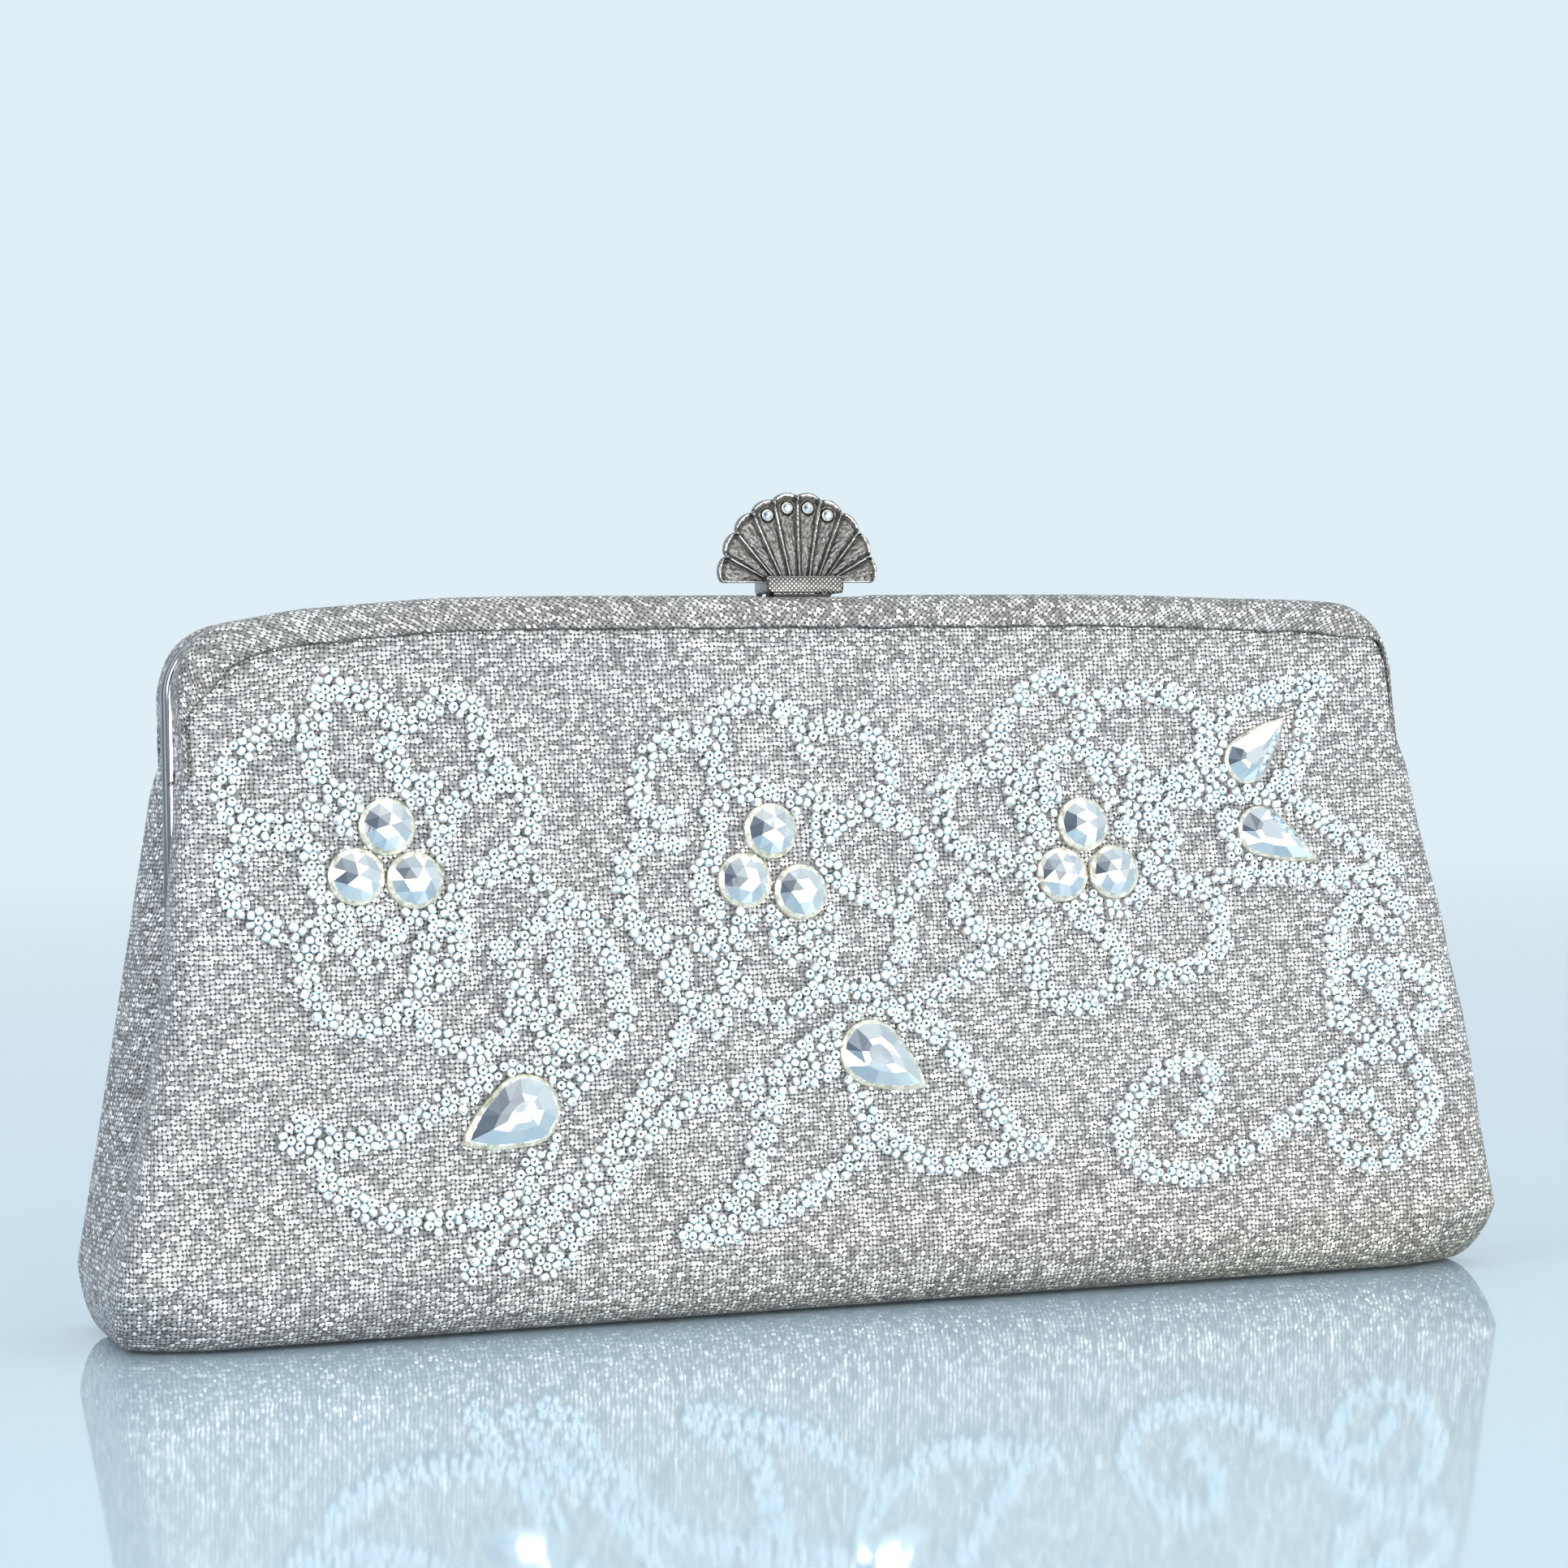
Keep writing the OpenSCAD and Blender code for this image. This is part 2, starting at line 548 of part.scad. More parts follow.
// Trails of seed beads. Each trail is its width and the points of its middle line,
// as x and height.
trails = [
  // left flower: outer petals, clockwise from the upper left
  [4.6, [[-97, 104], [-97, 108], [-95, 112], [-93, 116], [-89, 117.5], [-84, 114.5],
         [-82, 110], [-82.5, 105], [-81.5, 102.5]]],
  [4.2, [[-80, 109.5], [-77, 111], [-73, 113.5], [-70, 113.5], [-67, 111.5], [-66, 107],
         [-65, 103], [-62, 100.5]]],
  [4.2, [[-73, 93], [-70, 96], [-66, 98.5], [-62, 100], [-58.5, 98], [-57, 94],
         [-58, 90], [-60, 87], [-64, 84]]],
  [4.2, [[-71, 79], [-68, 82], [-63, 83.5], [-59, 82.5], [-56, 79.5], [-54.5, 76],
         [-57.5, 72], [-61, 69], [-65, 68.5]]],
  [4.2, [[-62, 68], [-62, 63], [-60.5, 59], [-64, 54.5], [-68, 51.5], [-72, 51],
         [-76, 53], [-79, 56]]],
  [4.2, [[-80, 60.5], [-82, 58], [-85, 56.5], [-90, 55.5], [-94, 57], [-97.5, 59.5],
         [-99, 62.5], [-99.5, 66.5], [-98.5, 71]]],
  [4, [[-98, 73], [-101, 72], [-105, 73], [-109, 75.5], [-112, 78.5], [-113.5, 82],
       [-112.5, 86], [-109.5, 89], [-104, 90]]],
  [4, [[-97, 108.5], [-102, 109], [-107, 107.5], [-111, 103.5], [-113, 99], [-113, 95],
       [-110.5, 92.5], [-106, 91.5], [-101, 91.5], [-98, 93], [-95.5, 96], [-92, 97.5],
       [-90.5, 94.5], [-91.5, 91]]],
  // left flower: inner ring
  [3.6, [[-102, 90], [-99, 88], [-97.5, 85], [-98, 82], [-96.5, 79.5]]],
  [3.8, [[-98, 72.5], [-95, 75.5], [-91, 76.5], [-87.5, 76]]],
  [3.8, [[-93.5, 74], [-92, 70], [-90, 67.5], [-87, 68], [-84.5, 70.5], [-83, 73.5],
         [-79.5, 75.5]]],
  [4, [[-76, 76], [-77.5, 72], [-78.5, 68], [-79, 64], [-76.5, 62.5], [-74, 65.5],
       [-71.5, 68.5], [-71.5, 72], [-73.5, 76], [-72.5, 79]]],
  [4.4, [[-80, 96.5], [-77, 98.5], [-74.5, 96], [-74, 92], [-75, 88], [-76, 85.5]]],
  // two trails that run from the left flower down to the leaf
  [4.2, [[-55, 76], [-50, 76], [-47.5, 73], [-45.5, 69], [-43.5, 64], [-42.5, 59],
         [-42.5, 55], [-44.5, 51], [-48, 48.5], [-51.5, 45], [-54.5, 42.5]]],
  [4, [[-53, 74], [-53, 70], [-54, 65], [-53, 60], [-55, 56], [-58, 57], [-59, 60]]],
  [5.4, [[-58, 57], [-56, 52.5], [-53.5, 51]]],
  [4, [[-56, 52], [-57, 47.5], [-55, 43.5]]],
  // leaf round the lower left pear stone
  [4.4, [[-54, 43.5], [-60, 46], [-65, 46.5], [-70, 45], [-74, 42.5], [-78, 41],
         [-83, 38.5], [-88, 36.5], [-93, 35.5], [-98, 37], [-102, 39]]],
  [3, [[-75, 41.5], [-73.5, 39]]],
  [3.6, [[-105, 37.5], [-101, 35.5], [-98.5, 32]]],
  [4.2, [[-98, 30], [-96.5, 27], [-92, 24.5], [-88, 22.5], [-83, 21.5], [-78, 21.5],
         [-72, 22], [-67, 22.8], [-63, 24.5], [-61, 28], [-59.5, 31.5], [-58, 35.5],
         [-56.5, 39]]],
  // three stems
  [3.8, [[-64, 22.5], [-67, 20], [-69.5, 17.5], [-71.5, 14.5], [-73.5, 12]]],
  [3.8, [[-66, 12.5], [-63.5, 15.5], [-61, 18], [-59, 21], [-56, 23.5], [-53, 26],
         [-50, 28.5], [-47, 31.5], [-44, 34.5], [-41, 38.5], [-38.5, 42], [-36, 45.5],
         [-33.5, 49.5], [-31, 53]]],
  [4, [[-59, 12], [-56, 14.5], [-54, 17.5], [-51, 20.5], [-48.5, 24], [-45.5, 27],
       [-43, 30.5], [-40, 33.5], [-36, 36.5], [-32, 39], [-27, 40.5], [-22, 41.3],
       [-18, 42.5], [-14, 44.5], [-10, 47], [-5, 49.5], [-1, 52], [3, 54], [8, 55],
       [13, 55.8], [17, 57], [21, 59], [25, 61.5], [29, 64], [33, 66.5]]],
  // two leaves under the lower middle pear stone
  [4.4, [[-1, 46.5], [-5, 44], [-9, 44.5], [-13, 42.5], [-15.5, 39], [-16.5, 35],
         [-17.5, 31], [-18.5, 27.5], [-20, 24.5], [-22.5, 22], [-26.5, 19.5], [-31, 17]]],
  [3.8, [[-32, 16], [-27, 16], [-22, 17.5], [-17, 19], [-12, 20.5], [-8, 22.5],
         [-4, 24.5], [-0.5, 27.5], [2, 30.5]]],
  [4, [[1, 43], [2, 39], [3.5, 36], [6, 33], [9, 30], [12, 28], [16, 26.5], [20, 26.3],
       [25, 27], [30, 28], [34, 28.5], [38, 28.5]]],
  [4, [[6, 54], [10, 52.5], [15, 52.5], [19, 50.5], [21.5, 47.5], [23.5, 44.5],
       [26, 41], [28, 37.5], [30, 34.5], [32, 31.5], [35, 29.5]]],
  // middle flower: outer petals
  [4, [[-21.5, 98.5], [-22.5, 102.5], [-24.5, 106], [-30, 106.5], [-34, 103.5],
       [-36.5, 99], [-37, 94.5], [-35, 91.5], [-31.5, 91.5]]],
  [4, [[-31, 86.5], [-34, 87.5], [-38, 86.5], [-40.5, 82.5], [-41, 78], [-41, 74],
       [-38, 71.5], [-34.5, 69]]],
  [5.2, [[-35, 69], [-32, 66], [-32.5, 62]]],
  [4, [[-33, 60], [-30, 57.5], [-26, 56.5], [-22.5, 58], [-20, 61], [-22.5, 63.5]]],
  [3.8, [[-31.5, 53.5], [-27.5, 54.5], [-24.5, 53.5]]],
  [4, [[-19.5, 60], [-17, 56.5], [-13, 54.8], [-9.5, 56], [-6, 58.5], [-2, 59],
       [3, 58.5], [7.5, 59.5], [10.5, 62.5], [12.5, 66], [13.5, 70], [12.5, 74],
       [8, 75], [4.5, 77], [1.5, 79.5]]],
  [4.2, [[13, 73], [15, 77], [17.5, 80], [18.5, 84], [17, 87.5], [14, 89.5], [10, 91.5]]],
  [4, [[-3.5, 103], [-1, 107.5], [3, 108.5], [7, 107.5], [10, 104.5], [12, 101],
       [12, 97], [10.5, 93.5], [7, 92.5], [3, 90.5], [0, 88.5]]],
  [4.2, [[-21.5, 105], [-21.5, 108.5], [-19, 111.5], [-15.5, 113.5], [-11.5, 113],
         [-8, 111], [-5, 108], [-4.5, 104], [-4, 101.5]]],
  // middle flower: inner ring
  [4, [[-26, 77.5], [-26, 81], [-24, 85], [-22.5, 89], [-23, 93], [-20, 95.5],
       [-16, 96.5], [-12, 95.3]]],
  [4, [[-8.5, 92.5], [-7, 94.5], [-3, 95], [-0.8, 92.5], [-1.5, 89], [-1.5, 86],
       [-2, 83], [-0.5, 80]]],
  [4, [[-34, 69.5], [-30, 69], [-26, 68.5], [-22, 67.5], [-19, 69.5], [-17.5, 73]]],
  [3.8, [[-24.5, 75.5], [-23.5, 71]]],
  [4.4, [[-11.5, 73], [-11.5, 69.5], [-9.5, 66.5], [-6.5, 67.5], [-5.5, 70.5], [-2.5, 73]]],
  [4.4, [[-3, 71], [-2.5, 67], [-4, 63], [-4.5, 60]]],
  // right flower: outer petals
  [5.2, [[34.5, 100], [34, 104], [35.5, 107.5]]],
  [4, [[35.5, 107.5], [39.5, 112.5], [44, 115.5], [48.5, 115.5], [51.5, 112], [54, 109],
       [52.5, 106]]],
  [4, [[54, 111], [58, 112], [65, 113.5], [70, 113], [75, 111.5], [78, 108.5],
       [78.5, 104], [77, 100], [73, 97], [68, 95.5], [65, 93.5]]],
  [4.2, [[40, 97], [36, 98.5], [30, 99], [25, 98], [22, 95], [22.5, 91], [23.5, 87],
         [27, 83.5], [31, 82.5], [34, 83]]],
  [4.2, [[32, 81], [27.5, 79], [24, 76], [24.5, 72], [28, 68.5], [33, 67.5], [37, 67.5],
         [41, 68.5]]],
  [4, [[39.5, 67], [38.5, 62], [39, 58.5], [42, 56], [46.5, 54.7], [51, 55], [55, 57.5],
       [57.5, 61], [56.5, 64.5], [54, 68], [50, 70]]],
  [4, [[58, 62.5], [61.5, 60], [66, 59.3], [70, 60], [75, 62], [78, 65], [78, 69],
       [77, 73], [74, 75.5], [70, 76.5], [66, 78.5], [63, 81]]],
  [4, [[75, 75.5], [80, 77.5], [85, 78]]],
  [4.2, [[67, 93.5], [71, 93], [76, 93.2], [80, 93]]],
  // right flower: inner ring
  [5.4, [[38.5, 95], [39.5, 90.5], [42.5, 87.5]]],
  [4.4, [[41, 84], [38.5, 82], [39, 78], [40.5, 75]]],
  [5.4, [[43.5, 97.5], [43.5, 92.5]]],
  [4, [[42.5, 99], [46, 102], [50, 103], [54, 101], [56, 97], [56.5, 93]]],
  [4.2, [[59, 99.5], [61.5, 102], [63, 98.5], [62, 94], [60.5, 89.5], [59.5, 86.5]]],
  [4.4, [[63.5, 89.5], [67.5, 88.5], [69, 85], [66, 81.5], [63.5, 82]]],
  [4.6, [[47.5, 72.5], [52, 74], [57, 72.8], [61.5, 75]]],
  // two leaves on the upper right
  [4, [[79.5, 102], [80, 106], [83.5, 110], [88.5, 111.5], [94, 113.5], [99, 114.5],
       [105, 114.5]]],
  [3.8, [[102.5, 113], [101, 109.5], [99.5, 105], [98.5, 101], [96, 97.5], [93, 95]]],
  [4.4, [[80, 98], [83, 94.3], [88, 93], [94, 93], [98, 90.5], [102, 88], [105.5, 85.5],
         [109, 83.5], [113, 81], [116.5, 79]]],
  [4, [[81.5, 90], [82, 85.5], [84, 80.5], [88, 78.3], [93, 77.5], [98, 77], [103, 76.5],
       [108, 77], [113, 77.5], [117, 78]]],
  // curls on the right
  [4.4, [[118, 71], [115, 74], [110, 73.5], [105.5, 70.5], [103, 67], [103, 63]]],
  [4, [[112, 71], [111.5, 67.5], [114, 65.5], [117, 68], [117.5, 72]]],
  [4.4, [[103, 61], [107, 58.5], [112, 58.5], [117, 59], [121.5, 57.5], [124, 54],
         [123.5, 50.5], [120, 48.3], [115, 46.5], [109, 46.5], [104.5, 48], [101.5, 50.5],
         [101.5, 54.5], [103, 59]]],
  [4.6, [[111, 58], [111.5, 54.5], [113.5, 52.8]]],
  [4.2, [[94, 33], [98, 37], [103, 40.5], [108, 42.8], [113, 43.5], [117, 41.5],
         [120, 37.5], [121, 33], [119.5, 28.5], [116.5, 25], [112, 22.5], [107, 21.8],
         [102, 23.5], [99.5, 27], [98, 31]]],
  [3.8, [[97, 32.5], [101, 33], [106, 34], [109, 31.5], [110.5, 28]]],
  // wave and scroll on the lower right
  [3.8, [[98, 34.5], [94, 32.5], [90, 30.5], [86, 28.5], [82, 26], [78, 24], [73, 22.5],
         [68, 21.5], [63, 22], [59, 23.5], [56, 26], [54.5, 30], [56, 34], [59, 37.5],
         [63, 40.5], [68, 42.3], [72, 42], [74.5, 40.5]]],
  [3.6, [[73, 39], [73, 35.5], [71, 32.5], [68, 30]]]
];

module trail(width, list) {
  pts = flat_points(list);
  for (i = [0:len(pts) - 2]) hull() {
    translate(pts[i]) circle(d = width, $fn = 10);
    translate(pts[i + 1]) circle(d = width, $fn = 10);
  }
}

// The bead trails inside one rectangle of the face, clear of the stones.
module beads(x0, x1, z0, z1) {
  color(bead_white) on_front() linear_extrude(bead_h) difference() {
    intersection() {
      union() for (t = trails) trail(t[0] - 0.2, t[1]);
      translate([x0, up(z0)]) square([x1 - x0, up(z1) - up(z0)]);
    }
    for (p = round_spots) at_spot(p) circle(r = stone_r + 0.1, $fn = 20);
    for (p = concat(pear_upper, pear_lower)) pear_at(p, -0.15);
  }
}

left_end = -130;
left_mid = -46;
mid_right = 19.5;
right_end = 128;
module beads_upper_left() { beads(left_end, left_mid, fold_hi, 120); }
module beads_upper_middle() { beads(left_mid, mid_right, fold_hi, 120); }
module beads_upper_right() { beads(mid_right, right_end, fold_hi, 120); }
module beads_fold() { beads(left_end, right_end, fold_lo, fold_hi); }
module beads_lower_left() { beads(left_end, left_mid, base_round_z - 2, fold_lo); }
module beads_lower_middle() { beads(left_mid, mid_right, base_round_z, fold_lo); }
module beads_lower_right() { beads(mid_right, right_end, base_round_z, fold_lo); }

base();
base_board();
lower_panel();  // front_panel_lower
as_back() lower_panel();  // back_panel_lower
fold_strip();  // front_panel_fold
as_back() fold_strip();  // back_panel_fold
left_gusset();
right_gusset();
left_gusset_fold();
right_gusset_fold();
lining_pouch();
front_frame();
frame_cover();  // front_cover
upper_panel();  // front_panel
board();  // front_board
lining_sheet();  // front_lining
catch_plate();
catch_rivets();
back_frame();
as_back() frame_cover();  // back_cover
as_back() upper_panel();  // back_panel
as_back() board();  // back_board
as_back() lining_sheet();  // back_lining
hinge_rivets();
clasp_bracket();
bracket_rivets();
clasp_shell();
clasp_stones();
clasp_pin();
clasp_spring();
round_stones();
pear_stones_upper();
pear_stones_lower();
beads_upper_left();
beads_upper_middle();
beads_upper_right();
beads_fold();
beads_lower_left();
beads_lower_middle();
beads_lower_right();
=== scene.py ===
"""Beaded evening bag with a shell clasp: the looks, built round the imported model."""

import math
import random

import bmesh
import bpy
import numpy as np
from mathutils import Matrix, Vector, noise


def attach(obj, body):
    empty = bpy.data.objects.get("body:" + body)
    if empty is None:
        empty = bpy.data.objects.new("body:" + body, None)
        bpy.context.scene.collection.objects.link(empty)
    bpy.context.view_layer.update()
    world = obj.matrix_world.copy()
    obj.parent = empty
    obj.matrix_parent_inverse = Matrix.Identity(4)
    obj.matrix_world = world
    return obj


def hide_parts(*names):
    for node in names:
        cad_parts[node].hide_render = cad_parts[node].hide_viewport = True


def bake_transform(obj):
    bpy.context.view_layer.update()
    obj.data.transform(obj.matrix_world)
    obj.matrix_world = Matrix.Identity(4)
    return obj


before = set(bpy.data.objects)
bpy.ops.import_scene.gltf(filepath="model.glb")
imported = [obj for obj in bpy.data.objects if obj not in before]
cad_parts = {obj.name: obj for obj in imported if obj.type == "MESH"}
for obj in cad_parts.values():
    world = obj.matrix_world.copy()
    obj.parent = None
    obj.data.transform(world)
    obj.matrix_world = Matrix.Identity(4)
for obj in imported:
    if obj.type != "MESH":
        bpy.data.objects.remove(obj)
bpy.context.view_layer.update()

# ------------------------------------------------------------------ camera and light

CAMERA_AT = (-0.2333, -0.6533, 0.1057)
YAW, PITCH, ROLL = math.radians(19.39), math.radians(-0.715), math.radians(-0.965)
PALE = (0.745, 0.855, 0.915)


def make_camera():
    data = bpy.data.cameras.new("camera")
    data.sensor_width = 36
    data.lens = 83.85
    data.clip_start = 0.01
    camera = bpy.data.objects.new("camera", data)
    bpy.context.collection.objects.link(camera)
    forward = Vector((math.sin(YAW) * math.cos(PITCH), math.cos(YAW) * math.cos(PITCH), math.sin(PITCH)))
    right = Vector((math.cos(YAW), -math.sin(YAW), 0))
    up = right.cross(forward)
    x = right * math.cos(ROLL) + up * math.sin(ROLL)
    y = up * math.cos(ROLL) - right * math.sin(ROLL)
    camera.matrix_world = Matrix((
        (x.x, y.x, -forward.x, CAMERA_AT[0]),
        (x.y, y.y, -forward.y, CAMERA_AT[1]),
        (x.z, y.z, -forward.z, CAMERA_AT[2]),
        (0, 0, 0, 1)))
    bpy.context.scene.camera = camera


def area_light(name, at, target, size, watts, colour):
    data = bpy.data.lights.new(name, "AREA")
    data.shape = "RECTANGLE"
    data.size, data.size_y = size
    data.energy = watts
    data.color = colour
    lamp = bpy.data.objects.new(name, data)
    bpy.context.collection.objects.link(lamp)
    lamp.location = at
    lamp.rotation_euler = (Vector(target) - Vector(at)).to_track_quat("-Z", "Y").to_euler()


# ------------------------------------------------------------------ node helpers


class Graph:
    """Short calls for the nodes of one tree."""

    def __init__(self, tree):
        self.tree = tree

    def add(self, kind, **settings):
        node = self.tree.nodes.new("ShaderNode" + kind)
        for key, value in settings.items():
            setattr(node, key, value)
        return node

    def link(self, source, target):
        self.tree.links.new(source, target)

    def feed(self, value, target):
        if isinstance(value, (int, float, tuple)):
            target.default_value = value
        else:
            self.link(value, target)

    def math(self, operation, a, b=None, c=None, clamp=False):
        node = self.add("Math", operation=operation, use_clamp=clamp)
        for value, target in zip((a, b, c), node.inputs):
            if value is not None:
                self.feed(value, target)
        return node.outputs[0]

    def mix(self, factor, a, b, blend="MIX"):
        node = self.add("Mix", data_type="RGBA", blend_type=blend)
        self.feed(factor, node.inputs[0])
        for value, target in ((a, node.inputs[6]), (b, node.inputs[7])):
            self.feed((*value, 1) if isinstance(value, tuple) else value, target)
        return node.outputs[2]

    def ramp(self, value, stops):
        node = self.add("ValToRGB")
        while len(node.color_ramp.elements) < len(stops):
            node.color_ramp.elements.new(0.5)
        for element, (place, colour) in zip(node.color_ramp.elements, stops):
            element.position = place
            element.color = (*colour, 1) if isinstance(colour, tuple) else (colour, colour, colour, 1)
        self.link(value, node.inputs[0])
        return node.outputs[0]

    def place(self, kind="Object"):
        return self.add("TexCoord").outputs[kind]

    def noise(self, where, scale, detail=2.0, rough=0.5, out="Fac"):
        node = self.add("TexNoise")
        self.link(where, node.inputs["Vector"])
        node.inputs["Scale"].default_value = scale
        node.inputs["Detail"].default_value = detail
        node.inputs["Roughness"].default_value = rough
        return node.outputs[out]

    def attribute(self, name):
        return self.add("Attribute", attribute_name=name).outputs["Fac"]

    def xyz(self, where):
        node = self.add("SeparateXYZ")
        self.link(where, node.inputs[0])
        return node.outputs

    def stretched(self, where, squeeze):
        """The place with its Z squeezed, which draws a pattern out along Z."""
        node = self.add("Mapping")
        node.inputs["Scale"].default_value = (1, 1, squeeze)
        self.link(where, node.inputs["Vector"])
        return node.outputs[0]

    def share(self, value, low, high, **settings):
        """How far a value is from low to high, from 0 to 1."""
        node = self.add("MapRange", **settings)
        node.inputs["From Min"].default_value = low
        node.inputs["From Max"].default_value = high
        self.link(value, node.inputs["Value"])
        return node.outputs[0]


class Nodes(Graph):
    """A material with a Principled shader, and short calls for what feeds it."""

    def __init__(self, name, **sockets):
        self.material = bpy.data.materials.new(name)
        self.material.use_nodes = True
        super().__init__(self.material.node_tree)
        self.shader = self.tree.nodes["Principled BSDF"]
        for key, value in sockets.items():
            self.shader.inputs[key.replace("_", " ")].default_value = value

    def bump(self, height, strength, distance):
        node = self.add("Bump")
        node.inputs["Strength"].default_value = strength
        node.inputs["Distance"].default_value = distance
        self.link(height, node.inputs["Height"])
        self.link(node.outputs[0], self.shader.inputs["Normal"])

    def base(self, colour):
        self.link(colour, self.shader.inputs["Base Color"])

    def rough(self, value):
        self.link(value, self.shader.inputs["Roughness"])


def make_world():
    """A pale room, darker behind the camera on the left, which the stones and metal mirror."""
    world = bpy.data.worlds.new("room")
    bpy.context.scene.world = world
    world.use_nodes = True
    world.node_tree.nodes.clear()
    g = Graph(world.node_tree)
    towards = g.xyz(g.place("Generated"))
    side = g.math("MULTIPLY_ADD", towards["X"], 1.3, g.math("MULTIPLY", towards["Y"], 0.8))
    colour = g.ramp(g.share(side, -1.3, 0.45), [
        (0.0, (0.15, 0.19, 0.25)), (0.16, (0.32, 0.38, 0.44)), (0.42, (0.74, 0.80, 0.85)), (1.0, PALE)])
    background = g.add("Background")
    background.inputs["Strength"].default_value = 1.0
    g.link(colour, background.inputs["Color"])
    g.link(background.outputs[0], g.add("OutputWorld").inputs[0])


# ------------------------------------------------------------------ materials

THREAD_MM = 0.86       # pitch of the woven lame


def lame(name, turn, tint, painted_shade_level):
    """Silver lame: short flat glinting floats of thread, with dark gaps between them. Each float's tone
    differs at random, and the brightest floats are painted glints.
    The UV map is in millimetres along the cloth; turn is the angle of the weave on it,
    tint a colour that comes and goes in patches, and painted_shade_level how bright the whole is painted:
    below 1 it paints shade over the whole piece."""
    m = Nodes(name, Metallic=0.0, Roughness=0.4)
    uv = m.add("UVMap", uv_map="cloth")
    rotate = m.add("VectorRotate", rotation_type="Z_AXIS")
    rotate.inputs["Angle"].default_value = turn
    m.link(uv.outputs[0], rotate.inputs["Vector"])
    wobble = m.noise(rotate.outputs[0], 0.35, 3.0, 0.6, "Color")
    wobbled = m.add("VectorMath", operation="MULTIPLY_ADD")
    m.link(wobble, wobbled.inputs[0])
    wobbled.inputs[1].default_value = (1.1, 1.1, 0)
    m.link(rotate.outputs[0], wobbled.inputs[2])
    cells = {}
    for feature, step in (("F1", 0.0), ("DISTANCE_TO_EDGE", 0.0), ("F1", 0.5)):
        moved = m.add("VectorMath", operation="ADD")
        m.link(wobbled.outputs[0], moved.inputs[0])
        moved.inputs[1].default_value = (step * THREAD_MM, step * THREAD_MM, 0)
        node = m.add("TexVoronoi", voronoi_dimensions="2D", feature=feature)
        m.link(moved.outputs[0], node.inputs["Vector"])
        node.inputs["Scale"].default_value = 1 / THREAD_MM
        node.inputs["Randomness"].default_value = 0.45
        cells[feature, step] = node.outputs
    each = m.add("SeparateColor")
    m.link(cells["F1", 0.0]["Color"], each.inputs[0])
    value, second = each.outputs[0], each.outputs[1]
    edge = cells["DISTANCE_TO_EDGE", 0.0]["Distance"]
    # The black gaps at the crossings are wide in some places and closed in others.
    uneven = m.noise(wobbled.outputs[0], 2.6, 2.0, 0.6)
    hole = m.math("MULTIPLY_ADD", m.math("SUBTRACT", uneven, 0.5), 0.55, cells["F1", 0.5]["Distance"])
    gap = m.ramp(hole, [(0.20, 1.0), (0.32, 0.0)])
    line = m.ramp(edge, [(0.03, 0.55), (0.13, 0.0)])
    patches = m.noise(m.place(), 26.0, 3.0, 0.55)
    # Each float's own tone differs at random; the near-white top of this ramp is painted glints.
    tones_and_glints = [(0.0, (0.18, 0.18, 0.18)), (0.3, (0.29, 0.29, 0.285)),
             (0.62, (0.44, 0.44, 0.435)), (1.0, (0.84, 0.84, 0.83))]
    thread = m.ramp(value, [(place, tuple(c * painted_shade_level for c in colour)) for place, colour in tones_and_glints])
    thread = m.mix(m.ramp(patches, [(0.3, 0.0), (0.7, 0.5)]), thread, tint, "MULTIPLY")
    # Yellower towards the foot, most of all at its right.
    spot = m.xyz(m.place())
    low = m.math("MULTIPLY_ADD", spot["Z"], -26.0, 1.0, clamp=True)
    right = m.math("MULTIPLY_ADD", spot["X"], 5.0, 0.45, clamp=True)
    thread = m.mix(m.math("MULTIPLY", low, right), thread, (0.93, 0.91, 0.76), "MULTIPLY")
    thread = m.mix(line, thread, (0.12, 0.12, 0.12))
    woven = m.mix(gap, thread, (0.03, 0.028, 0.026))
    # Where the attribute shade is set, on the band's turned-under lip, the colour is painted near black: a
    # painted shadow under the band.
    m.base(m.mix(m.attribute("shade"), woven, (0.02, 0.018, 0.015)))
    metal = m.ramp(second, [(0.55, 0.1), (0.85, 0.65)])
    m.link(m.math("MULTIPLY", metal, m.math("SUBTRACT", 1.0, gap)), m.shader.inputs["Metallic"])
    m.rough(m.ramp(value, [(0.2, 0.55), (0.85, 0.26)]))
    m.bump(m.ramp(edge, [(0.0, 0.0), (0.25, 0.8), (0.5, 1.0)]), 0.8, 0.0002)
    return m.material


def metal_material(name, colour, roughness, scratch, dark=None):
    """Polished or worn metal, with fine scratches and, where dark is given, tarnish in patches."""
    m = Nodes(name, Metallic=1.0, Roughness=roughness)
    where = m.place()
    lines = m.noise(m.stretched(where, 0.06), 2600.0, 3.0, 0.7)
    cloud = m.noise(where, 160.0, 4.0, 0.6)
    tone = m.mix(m.ramp(cloud, [(0.35, 0.0), (0.75, 0.6)]), colour, dark or tuple(c * 0.8 for c in colour))
    m.base(tone)
    m.rough(m.ramp(m.math("ADD", m.math("MULTIPLY", lines, 0.5), m.math("MULTIPLY", cloud, 0.5)),
                   [(0.3, roughness * 0.7), (0.75, min(1.0, roughness * 1.6))]))
    m.bump(lines, scratch, 0.00004)
    return m.material


